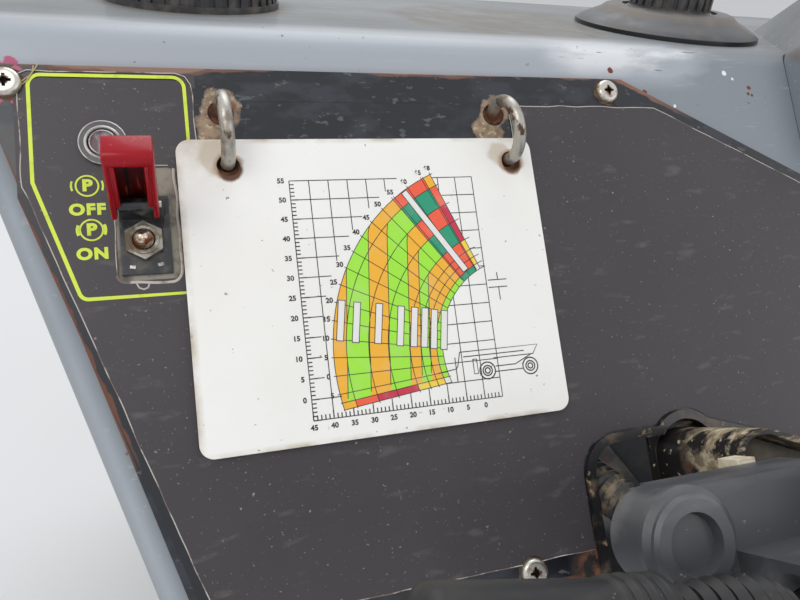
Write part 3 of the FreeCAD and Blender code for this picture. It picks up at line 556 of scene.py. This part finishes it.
REACH = [(52.1, 52.1), (48.8, 52.1), (42.9, 52.1), (37.8, 48.8), (32.4, 43.1), (29.4, 38.0),
         (26.9, 32.3), (25.1, 25.1), (23.5, 23.5)]      # band edge at the foot, furthest arc
INKS = {"lime": (158, 232, 58), "amber": (244, 178, 46), "coral": (242, 92, 62),
        "teal": (26, 150, 112), "crimson": (198, 44, 72), "straw": (246, 210, 66),
        "paper": (232, 231, 226), "line": (26, 26, 30)}
inks = {}
for name, shade in INKS.items():
    inks[name] = Finish(name + " chart ink", shade, 0.34, coat=0.25)
    inks[name].blots(5, 0.5, 0.75, (205, 200, 188), 0.5, within=0.22, detail=5.0)
prints = {name: bmesh.new() for name in INKS}
lines = prints["line"]


def band_edge(index, angle):
    """Radius of a band's edge at an angle over the middle of the arcs."""
    foot, furthest = REACH[index]
    if index in (0, 7, 8):
        return foot
    lean = foot / (math.cos(angle) + LEAN * math.sin(angle))
    return min(furthest, max(foot, lean))


def boom_line(angle):
    """A point and the direction of the boom's line at an angle in degrees."""
    a = math.radians(angle)
    return Vector((ARC_X, PIVOT_Y, 0)), Vector((-math.cos(a), math.sin(a), 0))


FOOT_LINE = (Vector((FOOT_X, FOOT_Y, 0)), Vector((-1.0, -FOOT_SLOPE, 0)).normalized())
FOOT_STRIP = (Vector((FOOT_X, 1.8, 0)), Vector((-1.0, -0.118, 0)).normalized())


def add_band(colour, inner, outer, low, high):
    """Strip of the fan between two radii, cut off along a line below and above."""
    strip = bmesh.new()
    bmesh.ops.create_grid(strip, x_segments=40, y_segments=1, size=0.5)
    for vert in strip.verts:
        angle = math.radians(-22 + (vert.co.x + 0.5) * 100)
        radius = outer(angle) if vert.co.y > 0 else inner(angle)
        vert.co = (ARC_X - radius * math.cos(angle), ARC_Y + radius * math.sin(angle), BAND_Z)
    for (point, heading), side in ((low, 1), (high, -1)):
        across = Vector((heading.y, -heading.x, 0)) * side
        bmesh.ops.bisect_plane(strip, geom=strip.verts[:] + strip.edges[:] + strip.faces[:],
                               plane_co=point, plane_no=across, clear_inner=True)
    bmesh.ops.dissolve_degenerate(strip, dist=0.01, edges=strip.edges[:])
    bmesh.ops.recalc_face_normals(strip, faces=strip.faces[:])
    if strip.faces and strip.faces[:][0].normal.z < 0:
        bmesh.ops.reverse_faces(strip, faces=strip.faces[:])
    sheet = bpy.data.meshes.new("strip")
    strip.to_mesh(sheet)
    prints[colour].from_mesh(sheet)
    bpy.data.meshes.remove(sheet)
    strip.free()


def add_round_band(colour, inner, outer, low, high):
    """Strip of the fan between two of its arcs."""
    add_band(colour, lambda angle: inner, lambda angle: outer, low, high)


for k in range(8):
    add_band(("amber", "lime")[k % 2], lambda angle, k=k: band_edge(k + 1, angle),
             lambda angle, k=k: band_edge(k, angle), FOOT_STRIP, boom_line(FAN_TOP))
RIM = ["amber", "coral", "crimson", "crimson", "straw", "straw", "straw", "paper"]
for colour, outer, inner in zip(RIM, ARCS, ARCS[1:]):
    add_round_band(colour, inner, outer, FOOT_LINE, FOOT_STRIP)
    add_round_band(colour, inner, outer, boom_line(STRIPES_TOP), boom_line(BOOM_TOP))
STRIPES = [52.1, 48.8, 43.1, 38.0, 32.3, 25.1, 23.5]
for k, (outer, inner) in enumerate(zip(STRIPES, STRIPES[1:])):
    add_round_band(("coral", "teal")[k % 2], inner, outer, boom_line(FAN_TOP), boom_line(STRIPES_TOP))


def add_strip(x, y, wide, high, turn):
    """Blank white strip with a thin dark border."""
    place = Matrix.Translation((x, y, 0)) @ Matrix.Rotation(math.radians(turn), 4, "Z")
    corners = [(-wide / 2, -high / 2), (wide / 2, -high / 2), (wide / 2, high / 2), (-wide / 2, high / 2)]
    points = [place @ Vector((cx, cy, 0)) for cx, cy in corners]
    trace(lines, [[(p.x, p.y) for p in points]], 0.28, 0.06, closed=True)
    panel = bmesh.ops.create_grid(prints["paper"], x_segments=1, y_segments=1, size=0.5)
    bmesh.ops.transform(prints["paper"], verts=panel["verts"],
                        matrix=(Matrix.Translation((0, 0, STRIP_Z)) @ place
                                @ Matrix.Diagonal((wide, high, 1, 1))))


STRIPS = [(-35.7, 18.6), (-31.8, 17.8), (-26.1, 17.0), (-20.4, 15.9), (-16.8, 15.3), (-14.0, 14.9),
          (-11.5, 14.3), (-8.8, 13.8)]
for x, y in STRIPS:
    add_strip(x, y, 1.75, 10.2, -9)
add_strip(-7.7, 40.2, 26.5, 1.7, -56.8)

LINE, THIN = 0.24, 0.19     # widths of the chart's lines
NUMBER_SIZE = 1.75
left, right, low, high = -45, 5, -5, 55
grid = []
outside = ARCS[0] + 2.9     # the grid stops short of the numbers round the arc
for y in range(low, high + 1, 5):
    run = math.sqrt(outside ** 2 - (y - ARC_Y) ** 2) if y > 0 else 0
    stop = ARC_X - run if run else -37.5 if y == 0 else right
    if y in (low, high):
        stop = right if y == low else -16.5
    grid.append([(left, y), (max(stop, left + 1), y)])
    if y == low:
        continue
    inside = ARCS[-1] ** 2 - (y - ARC_Y) ** 2
    start = ARC_X - (y - PIVOT_Y) / BOOM_SLOPE + 0.2
    if inside > 0 and y < 28:
        start = ARC_X - math.sqrt(inside)
    grid.append([(min(start, right), y), (right, y)])
for x in range(left, right + 1, 5):
    if x in (left, -40, right):
        grid.append([(x, low), (x, high)])
        continue
    rise = math.sqrt(outside ** 2 - (ARC_X - x) ** 2)
    grid.append([(x, low), (x, FOOT_Y + (x - FOOT_X) * FOOT_SLOPE if x < -9 else 0)])
    if ARC_Y + rise < high:
        grid.append([(x, ARC_Y + rise), (x, high)])
    if x >= -5:
        grid.append([(x, 0), (x, ARC_Y + math.sqrt(ARCS[-1] ** 2 - (ARC_X - x) ** 2))])
        grid.append([(x, PIVOT_Y + (ARC_X - x) * BOOM_SLOPE + 0.3), (x, high)])
trace(lines, grid, LINE, 0.02)
ticks = [[(left, y), (left + (2.0 if y % 5 == 0 else 1.1), y)] for y in range(low, high)]
ticks += [[(x, low), (x, low + (2.0 if x % 5 == 0 else 1.2))] for x in range(left, right)]
trace(lines, ticks, 0.3, 0.03)


def on_boom(angle, radius):
    """Point where the boom's line at an angle crosses an arc of this radius."""
    a = math.radians(angle)
    rise = (ARC_Y - PIVOT_Y) * math.sin(a)
    run = rise + math.sqrt(rise ** 2 - (ARC_Y - PIVOT_Y) ** 2 + radius ** 2)
    return ARC_X - run * math.cos(a), PIVOT_Y + run * math.sin(a)


booms = []
for angle in list(range(-5, 66, 5)) + [68]:
    booms.append([on_boom(angle, ARCS[-1]), on_boom(angle, ARCS[0] + 0.6)])
    x, y = on_boom(angle, ARCS[0] + 1.9)
    write(lines, str(abs(angle)), NUMBER_SIZE, x, y, NUMBER_Z, bold=0.07)
trace(lines, booms, THIN, 0.035)
curves = []
for radius in ARCS:
    inward = radius / ARCS[0]
    curves.append(arc(ARC_X, ARC_Y, radius, 180 + 13 / inward ** 0.55, 112.5 - 3.2 * (1 - inward), 40))
for k in range(1, 7):
    edge_line = []
    for step in range(33):
        a = math.radians(-10 + 66 * step / 32)
        radius = band_edge(k, a)
        edge_line.append((ARC_X - radius * math.cos(a), ARC_Y + radius * math.sin(a)))
    curves.append(edge_line)
curves.append([tuple(FOOT_LINE[0][:2]), (-37.4, -3.4)])
curves.append([tuple(FOOT_STRIP[0][:2]), (-38.0, -1.7)])
for angle in (FAN_TOP, STRIPES_TOP, BOOM_TOP):
    point, heading = boom_line(angle)
    curves.append([tuple((point + heading * reach)[:2]) for reach in (26.5, 55.2)])
trace(lines, curves, THIN, 0.04)
for y in range(0, high + 1, 5):
    write(lines, str(y), NUMBER_SIZE, left - 1.2, y, NUMBER_Z, bold=0.07, side="RIGHT")
for x in range(left, 1, 5):
    write(lines, str(abs(x)), NUMBER_SIZE, x, low - 1.7, NUMBER_Z, bold=0.07)

wheels = [circle(x, 2.1, radius, 24) for x in (1.8, 14.3) for radius in (2.2, 1.3, 0.7)]
trace(lines, wheels, 0.34, NUMBER_Z, closed=True)
MACHINE = [[(-5.4, 7.6), (17.2, 7.6), (15.6, 5.2), (4.0, 5.2)], [(4.2, 3.0), (10, 3.0), (15, 5.2)],
           [(-4.6, 6.3), (13, 6.3)], [(-5.4, 7.6), (-6.4, 4.0), (-6.9, 3.4)], [(4.0, 1.6), (12.1, 1.6)],
           [(-2, 5.4), (-0.9, 5.4), (-0.9, 1.6), (-2, 1.6), (-2, 5.4)], [(-6.9, 0), (-6.9, 6.4)],
           [(-6.6, 0), (-10.5, 0)], [(-6.9, 3.4), (-12, 2.8)]]
FORK_MARK = [[(5.5, 24.0), (11, 24.0)], [(5.5, 26.0), (11, 26.0)], [(8.4, 24), (8.4, 20.5)],
             [(8.4, 26), (8.4, 28)]]
trace(lines, MACHINE + FORK_MARK, 0.26, NUMBER_Z)
for name, bm in prints.items():
    add_piece("chart_" + name, bm, inks[name], "card", CHART, crease=60)

# Rings: two 6 mm steel wire rings bent through the plate and the card, dull zinc
# with rust where they rub.
wire = Finish("dull zinc wire", (176, 172, 164), 0.34, metal=0.6)
wire.blots(5, 0.48, 0.62, (124, 112, 98), 0.6, detail=6.0)
wire.blots(2, 0.58, 0.66, (92, 72, 56), 0.7, detail=5.0, stretch=(1, 2, 1), seed=9)
wire.coat(wire.fade(wire.out, 1.5, -4.0), (110, 70, 50), 0.85)
wire.relief(wire.noise(1.2, 3.0), 0.08)
for ring in ("ring_left", "ring_right"):
    dress(ring, wire)
# Rust and dried mud packed round the rings in the plate's holes; its dark brown also stands in as painted
# shade inside the holes, which are open behind
packed = Finish("rust, mud and painted shade", (104, 70, 52), 0.95)
packed.blots(1.5, 0.45, 0.6, (62, 44, 36), 0.95, detail=5.0)
packed.relief(packed.noise(1.0, 4.0), 0.3)
bm = bmesh.new()
for x, y in [(-105.0, 130.2), (27.3, 130.2), (-104.2, 107.0), (30.7, 107.0)]:
    trace(bm, [circle(x, y, 4.9, 24)], 3.7, -5.4, closed=True, thick=0.5)
add_piece("hole_rust_and_shade", bm, packed, "console")

# Park brake switch: pressed base, hexagon nut and chromed bat that copper-brown
# rust has started to cover, on a base blackened by grease.
soot = Finish("greasy black base", (26, 29, 35), 0.3, coat=0.3)
soot.blots(3, 0.52, 0.7, (96, 92, 86), 0.75, within=0.7, detail=7.0, seed=3)
dress("switch_base", soot, 0.3)
tarnish = Finish("tarnished nickel", (160, 155, 146), 0.32, metal=0.8)
tarnish.blots(3, 0.42, 0.6, (104, 92, 78), 0.6, detail=6.0)
tarnish.blots(2.2, 0.58, 0.64, (112, 66, 40), 0.8, detail=5.0, seed=7)
dress("toggle_switch", tarnish, 0.25)
bat = Finish("rusting chrome", (214, 206, 192), 0.14, metal=0.95)
bat.blots(2.4, 0.48, 0.58, (128, 76, 44), 0.6, detail=5.0, seed=2)
dress("toggle_lever", bat)
dress("guard_pin", zinc)
marks = Finish("white switch marks", (225, 224, 220), 0.5)
marks.blots(1.5, 0.5, 0.65, (150, 146, 138), detail=3.0)
bm = bmesh.new()
trace(bm, [[(-146.5, 62.3), (-144.3, 62.0)], [(-135.6, 62.4), (-133.4, 62.9)]], 1.3, -2.45)
add_piece("switch_marks", bm, marks, "console")

# Red guard: moulded cover that hinges over the bat, a channel with a rounded bar
# across its free end, standing open. Painted shade darkens its hollow, which is
# streaked darker and rust brown.
GUARD_HALF, GUARD_WALL, GUARD_FAR, GUARD_HEEL = 9.0, 2.2, -31.8, 2.2
GUARD_LOW, GUARD_HIGH = -6.0, 7.4
SPARE = 3.0                 # length that is cut off past the heel, so that it stays open
HINGED = PANEL @ Matrix.Translation((-142.2, 85, 8)) @ Matrix.Rotation(math.radians(-115), 4, "X")
red = Finish("glossy red plastic", (154, 5, 30), 0.24, specular=0.25, coat=0.1, frame=HINGED)
red.blots(9, 0.4, 0.75, (136, 4, 25), 0.3)
red.blots(1.2, 0.62, 0.7, (216, 84, 84), 0.5, within=0.4, detail=5.0, stretch=(1, 4, 1), seed=5)
rim = GUARD_HALF - GUARD_WALL - 0.1
# Painted shade: the inside of the channel is a darker red
shaded_hollow = red.times(red.between(red.across, -rim, rim, 0.06),
                   red.fade(red.up, GUARD_FAR + GUARD_WALL + 2, GUARD_FAR + GUARD_WALL + 5),
                   red.between(red.out, -0.5, GUARD_HIGH - 1.8, 0.3))
red.coat(shaded_hollow, (84, 12, 22), 0.5)
red.blots(2.0, 0.5, 0.62, (38, 18, 18), 0.7, shaded_hollow, detail=5.0, stretch=(0.6, 5, 1), seed=15)
red.blots(1.4, 0.6, 0.66, (150, 66, 44), 0.8, within=shaded_hollow, stretch=(0.7, 6, 1), seed=25)


def edges_of(verts):
    """The edges at these vertices, each once and always in the same order."""
    return list(dict.fromkeys(edge for vert in verts for edge in vert.link_edges))


def round_edges(bm, edges, offset, segments):
    """Round edges over to this far back, in a number of small steps."""
    bmesh.ops.bevel(bm, geom=edges, offset=offset, segments=segments, profile=0.5, affect="EDGES",
                    material=-1)


bm = bmesh.new()
bmesh.ops.create_cube(bm, size=1.0)
bmesh.ops.transform(bm, verts=bm.verts, matrix=(
    Matrix.Translation((0, (GUARD_FAR + GUARD_HEEL + SPARE) / 2, (GUARD_LOW + GUARD_HIGH) / 2))
    @ Matrix.Diagonal((2 * GUARD_HALF, GUARD_HEEL + SPARE - GUARD_FAR, GUARD_HIGH - GUARD_LOW, 1))))
ends = [edge for edge in bm.edges if all(v.co.y < GUARD_FAR + 0.1 for v in edge.verts)
        and abs(edge.verts[0].co.z - edge.verts[1].co.z) < 0.1]
round_edges(bm, ends, 3.4, 5)
under = min(bm.faces, key=lambda face: face.calc_center_median().z)
bmesh.ops.inset_region(bm, faces=[under], thickness=GUARD_WALL, use_even_offset=True)
bmesh.ops.inset_region(bm, faces=[under], thickness=0.0, depth=GUARD_WALL + GUARD_LOW - GUARD_HIGH)
bmesh.ops.bisect_plane(bm, geom=bm.verts[:] + bm.edges[:] + bm.faces[:], plane_co=(0, GUARD_HEEL, 0),
                       plane_no=(0, 1, 0), clear_outer=True)
bmesh.ops.holes_fill(bm, edges=[edge for edge in bm.edges if edge.is_boundary], sides=0)
corners = [edge for edge in bm.edges if edge.is_manifold and edge.calc_face_angle() > math.radians(40)]
round_edges(bm, corners, 0.95, 4)
for side in (-1, 1):
    made = bmesh.ops.create_cube(bm, size=1.0, matrix=Matrix.Translation((side * 6.3, -15.0, -2.8))
                                 @ Matrix.Diagonal((2.6, 23.0, 5.0, 1)))
    round_edges(bm, edges_of(made["verts"]), 1.2, 4)
guard = add_piece("red_guard", bm, red, "guard", HINGED, crease=50)
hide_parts("switch_guard")

# Pilot lamp: smoked bezel round a clouded lens, with three bright turned lines.
smoked = Finish("smoked bezel", (74, 72, 75), 0.3, coat=0.3)
smoked.blots(3, 0.45, 0.65, (98, 94, 94), 0.5, detail=5.0)
dress("lamp_body", smoked, 0.2)
lens = Finish("clouded lens", (150, 138, 144), 0.2, specular=0.6)
lens.blots(1.6, 0.48, 0.6, (96, 74, 82), 0.35, stretch=(1, 3, 1))
dress("lamp_lens", lens)
LAMP = (-153.6, 115.5)
turned = Finish("turned bright line", (205, 202, 198), 0.3, metal=0.4)
turned.blots(3, 0.5, 0.66, (140, 132, 126), 0.5)
bm = bmesh.new()
for radius, wide, z in ((9.35, 0.45, -1.85), (6.9, 0.9, -1.8), (5.2, 0.5, -1.75)):
    trace(bm, [circle(*LAMP, radius, 48)], wide, z, closed=True, thick=0.7)
add_piece("lamp_rings", bm, turned, "console")

# Swivel vent: flared ring clipped into the deck and the ribbed barrel that turns
# in it, black plastic gone grey with dust in every rib.
flare = Finish("grey dusty plastic", (72, 74, 78), 0.42)
flare.blots(7, 0.48, 0.66, (104, 100, 96), 0.7, detail=7.0)
flare.coat(flare.fade(flare.z, 0.4312, 0.4302), (22, 22, 24), 0.3)
dust_line = flare.times(flare.between(flare.z, 0.4385, 0.4415, 0.0015), 0.3)
flare.coat(dust_line, (165, 150, 130), 0.85)
dress("swivel_vent_bezel", flare)
barrel = Finish("ribbed dusty plastic", (56, 56, 58), 0.45)
barrel.dusty(0.7, (122, 114, 104), 3.0)
dress("swivel_vent_turret", barrel, 0.3)
dress("defroster_grille", barrel, 0.3)

# Instruments: plain cluster plate in the cowl with two round gauges, each a cup,
# a printed dial with plain numbers, a needle and a flat glass.
cluster = Finish("cluster plastic", (40, 41, 44), 0.3, coat=0.2)
cluster.dusty(0.4)
dress("instrument_plate", cluster, 0.4)
cup_black = Finish("gauge cup plastic", (26, 26, 28), 0.4)
cup_black.dusty(0.3)
dress("gauge_cases", cup_black, 0.4)
glass = Finish("gauge glass", (235, 240, 240), 0.05, specular=0.6)
put(glass.shader, Transmission_Weight=1.0, IOR=1.1)
glass.blots(8, 0.5, 0.75, (180, 172, 160), 0.4, within=0.3, detail=5.0)
dress("gauge_glasses", glass)
dial_black = Finish("dial face", (20, 20, 22), 0.6)
dial_black.blots(9, 0.5, 0.75, (32, 32, 34))
dial_white = Finish("dial printing", (228, 228, 222), 0.5)
dial_white.blots(2, 0.5, 0.7, (205, 204, 196), detail=3.0)
needle_red = Finish("needle", (226, 74, 34), 0.4)
needle_red.blots(2, 0.5, 0.7, (205, 60, 26), detail=3.0)
GAUGES = [(322.0, 165.0, (0, 50, 100, 150, 200), -35.0), (380.0, 165.0, (0, 1, 2, 3, 4), 20.0)]
DIAL_Z = 11.2


def on_dial(x, y, radius, angle):
    """Point of a dial at an angle in degrees, anticlockwise from the right."""
    a = math.radians(angle)
    return x + radius * math.cos(a), y + radius * math.sin(a)


faces, marks_bm, needles = bmesh.new(), bmesh.new(), bmesh.new()
for x, y, numbers, swing in GAUGES:
    bmesh.ops.create_circle(faces, cap_ends=True, segments=48, radius=21.6,
                            matrix=Matrix.Translation((x, y, DIAL_Z)))
    for k in range(21):
        angle = 225 - 270 * k / 20
        inner, wide = (17.0, 0.7) if k % 5 == 0 else (18.8, 0.4)
        trace(marks_bm, [[on_dial(x, y, inner, angle), on_dial(x, y, 20.4, angle)]], wide, DIAL_Z + 0.05)
    for k, number in enumerate(numbers):
        write(marks_bm, str(number), 4.0, *on_dial(x, y, 13.2, 225 - 270 * k / 4), DIAL_Z + 0.05)
    needle = [on_dial(x, y, reach, 90 - swing) for reach in (-4, 16)]
    trace(needles, [needle], 0.9, DIAL_Z + 1.0, thick=0.5)
    bmesh.ops.create_cone(needles, cap_ends=True, segments=24, radius1=2.6, radius2=2.2, depth=1.6,
                          matrix=Matrix.Translation((x, y, DIAL_Z + 0.9)))
add_piece("dial_faces", faces, dial_black, "console")
add_piece("dial_printing", marks_bm, dial_white, "console")
add_piece("dial_needles", needles, needle_red, "console")

# Steering column: jacket tube through the opening in a folded bracket, with its
# clamp block, nylon bushes and the bright shaft that the wheel's hub fits.
jacket = Finish("column black", (34, 34, 36), 0.4)
jacket.dusty(0.5)
dress("column_tube", jacket, 0.4)
nylon = Finish("greasy nylon", (188, 180, 160), 0.5)
nylon.blots(5, 0.45, 0.7, (120, 106, 84), 0.6)
dress("column_bushes", nylon, 0.3)
bright = Finish("bright shaft", (176, 174, 168), 0.3, metal=0.9)
bright.blots(7, 0.5, 0.66, (124, 104, 82), 0.6, detail=6.0, stretch=(1, 1, 3))
dress("steering_shaft", bright, 0.2)
muddy = Finish("bracket under dried mud", (32, 30, 29), 0.45)
rightward = muddy.plus(muddy.across, muddy.times(muddy.out, 0.82))
caked = muddy.times(muddy.fade(muddy.noise(4.0, 8.0, (3.5, 1, 1), 4, 0.65), 0.45, 0.55),
                    muddy.fade(rightward, 98, 118))
muddy.coat(caked, (160, 142, 114), 0.95)
muddy.blots(2, 0.48, 0.58, (206, 192, 164), 0.95, within=caked, detail=6.0, stretch=(3, 1, 1), seed=14)
muddy.blots(1.6, 0.64, 0.68, (172, 156, 132), 0.95, seed=34)
muddy.blots(6, 0.62, 0.68, (92, 60, 42), 0.9, detail=5.0, seed=44)
muddy.relief(caked, 0.4)
dress("column_bracket", muddy, 0.6)
cast = Finish("rough casting", (58, 57, 56), 0.75)
cast.dusty(0.7)
cast.relief(cast.noise(1.5, 3.0), 0.2)
dress("column_clamp", cast, 0.6)

# Conduit: corrugated sleeve for the shifter's wires, black plastic filmed with
# dust that is thickest on its ribs.
sleeve = Finish("dusty corrugated sleeve", (48, 46, 45), 0.55)
sleeve.blots(3, 0.46, 0.64, (128, 114, 94), 0.85, detail=6.0)
CONDUIT = [(55, -42, -48), (59.5, -54, -24), (64.5, -66, -2), (68, -76, 20), (70, -84, 38), (70.5, -86, 56)]
CREST, VALLEY, PITCH = 10.5, 9.0, 4.0


def add_hoop(bm, previous, radius, segments, place):
    """Add a ring of edges, join it to the ring before it, and give its edges back."""
    made = bmesh.ops.create_circle(bm, segments=segments, radius=radius, matrix=place)
    loop = edges_of(made["verts"])
    if previous:
        bmesh.ops.bridge_loops(bm, edges=loop + previous)
    return loop


route = bpy.data.curves.new("route", "CURVE")
route.dimensions = "3D"
route.resolution_u = 24
line = route.splines.new("BEZIER")
line.bezier_points.add(len(CONDUIT) - 1)
for point, place in zip(line.bezier_points, CONDUIT):
    point.co = place
    point.handle_left_type = point.handle_right_type = "AUTO"
course = mesh_of(route)
centres = [vert.co.copy() for vert in course.vertices]
bpy.data.meshes.remove(course)
bm = bmesh.new()
gone, target, previous, count = 0.0, 0.0, None, 0
for k in range(len(centres) - 1):
    stretch = centres[k + 1] - centres[k]
    while target <= gone + stretch.length:
        place = Matrix.Translation(centres[k] + stretch.normalized() * (target - gone))
        turn = stretch.to_track_quat("Z", "Y").to_matrix().to_4x4()
        radius = (CREST, CREST, VALLEY, VALLEY)[count % 4]
        previous = add_hoop(bm, previous, radius, 28, place @ turn)
        count, target = count + 1, target + PITCH / 4
    gone += stretch.length
bmesh.ops.holes_fill(bm, edges=[edge for edge in bm.edges if edge.is_boundary], sides=0)
bmesh.ops.recalc_face_normals(bm, faces=bm.faces[:])
corrugated = add_piece("corrugated_sleeve", bm, sleeve, "console", crease=60)
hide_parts("cable_conduit")

# Shifter: moulded switch case clamped to the column with a round capped boss, the
# lever in a folded rubber boot and the grip that twists, all black and dusty.
moulded = Finish("moulded black plastic", (74, 75, 78), 0.36)
moulded.blots(9, 0.5, 0.68, (102, 102, 104), 0.5, detail=7.0, stretch=(4, 1, 1), seed=6)
moulded.blots(1.4, 0.7, 0.74, (150, 142, 130), 0.8, detail=3.0, seed=16)
moulded.relief(moulded.noise(0.8, 2.0), 0.03)
dress("shifter_case", moulded, 0.8)
soft_black = Finish("black rubber", (38, 38, 40), 0.48, specular=0.4)
soft_black.blots(5, 0.5, 0.72, (66, 63, 61), 0.65, detail=7.0, stretch=(3, 1, 1), seed=8)
soft_black.blots(1.4, 0.69, 0.74, (140, 130, 118), 0.8, detail=3.0, seed=18)
dress("shifter_boss", moulded, 0.3)
dress("shift_lever", soft_black)
dress("twist_grip", soft_black)
ROOT, TIP = Vector((57, -86.5, 106)), Vector((-80, -60.5, 112))
heading = (TIP - ROOT).normalized()
along = Matrix.Translation(ROOT) @ heading.to_track_quat("Z", "Y").to_matrix().to_4x4()
FOLDS = [(61.0, 10.6), (62.5, 12.6), (64.5, 12.7), (66.0, 11.2), (67.5, 12.5), (69.5, 12.6),
         (71.0, 11.2), (72.5, 12.4), (74.5, 12.4), (76.0, 11.2), (77.5, 12.1), (79.5, 12.0),
         (81.0, 10.8)]      # distance from the ball, radius
bm = bmesh.new()
previous = None
for distance, radius in FOLDS:
    previous = add_hoop(bm, previous, radius, 36, Matrix.Translation((0, 0, distance)))
ring_edges = [edge for edge in bm.edges if abs(edge.verts[0].co.z - edge.verts[1].co.z) < 0.01
              and not edge.is_boundary]
round_edges(bm, ring_edges, 0.45, 2)
bmesh.ops.recalc_face_normals(bm, faces=bm.faces[:])
add_piece("grip_collar", bm, soft_black, "shifter_grip", PANEL @ along, crease=60)
cream = Finish("cream plug plastic", (222, 212, 188), 0.5)
cream.blots(4, 0.48, 0.66, (168, 150, 122), 0.75, detail=5.0)
dress("wire_plugs", cream, 0.4)

# Studio: pale floor, soft lights and the camera where the photographer stood.
floor_bm = bmesh.new()
bmesh.ops.create_grid(floor_bm, x_segments=1, y_segments=1, size=14.0)
floor_mesh = bpy.data.meshes.new("floor")
floor_bm.to_mesh(floor_mesh)
floor_bm.free()
floor = bpy.data.objects.new("floor", floor_mesh)
bpy.context.scene.collection.objects.link(floor)
floor_paint = bpy.data.materials.new("pale floor")
floor_paint.use_nodes = True
put(floor_paint.node_tree.nodes["Principled BSDF"], Base_Color=(0.78, 0.78, 0.77, 1), Roughness=0.9)
floor_mesh.materials.append(floor_paint)

scene = bpy.context.scene
scene.view_settings.view_transform = "Standard"
world = bpy.data.worlds.new("studio")
world.use_nodes = True
scene.world = world
tree = world.node_tree
glow = tree.nodes["Background"]
put(glow, Color=(0.93, 0.95, 1.0, 1), Strength=0.72)
white = tree.nodes.new("ShaderNodeBackground")
put(white, Color=(0.9, 0.9, 0.9, 1), Strength=1.0)
rays = tree.nodes.new("ShaderNodeLightPath")
shown = rays.outputs["Is Camera Ray"]
for kind in ("Is Glossy Ray", "Is Transmission Ray"):
    either = tree.nodes.new("ShaderNodeMath")
    either.operation = "MAXIMUM"
    tree.links.new(shown, either.inputs[0])
    tree.links.new(rays.outputs[kind], either.inputs[1])
    shown = either.outputs[0]
choose = tree.nodes.new("ShaderNodeMixShader")
tree.links.new(shown, choose.inputs[0])
tree.links.new(glow.outputs[0], choose.inputs[1])
tree.links.new(white.outputs[0], choose.inputs[2])
tree.links.new(choose.outputs[0], tree.nodes["World Output"].inputs[0])
LIGHTS = [("key", (-1.1, -0.9, 1.9), 1.3, 12.0, (1.0, 0.98, 0.95)),
          ("sky", (0.3, 1.2, 2.2), 1.8, 18.0, (0.94, 0.97, 1.0)),
          ("fill", (1.6, -1.4, 1.1), 1.6, 4.0, (1.0, 1.0, 1.0))]
for name, place, size, power, tint in LIGHTS:
    lamp = bpy.data.lights.new(name, "AREA")
    lamp.shape = "DISK"
    lamp.size = size
    lamp.energy = power
    lamp.color = tint
    holder = bpy.data.objects.new(name, lamp)
    holder.location = place
    holder.rotation_mode = "QUATERNION"
    holder.rotation_quaternion = (Vector((0, 0, 0.35)) - Vector(place)).to_track_quat("-Z", "Y")
    scene.collection.objects.link(holder)

RIGHT = Vector((0.9502, -0.123, 0.2862))
DOWN = Vector((-0.0762, -0.9826, -0.1693))
AHEAD = Vector((0.3021, 0.1391, -0.9431))
camera_data = bpy.data.cameras.new("camera")
camera_data.lens = 30.6
camera_data.sensor_width = 36.0
camera_data.clip_start = 0.01
camera = bpy.data.objects.new("camera", camera_data)
turn = Matrix.Rotation(SLOPE, 3, "X") @ Matrix((RIGHT, -DOWN, -AHEAD)).transposed()
camera.rotation_mode = "QUATERNION"
camera.rotation_quaternion = turn.to_quaternion()
camera.location = PANEL @ Vector((-126.7, -3.0, 287.8))
scene.collection.objects.link(camera)
scene.camera = camera
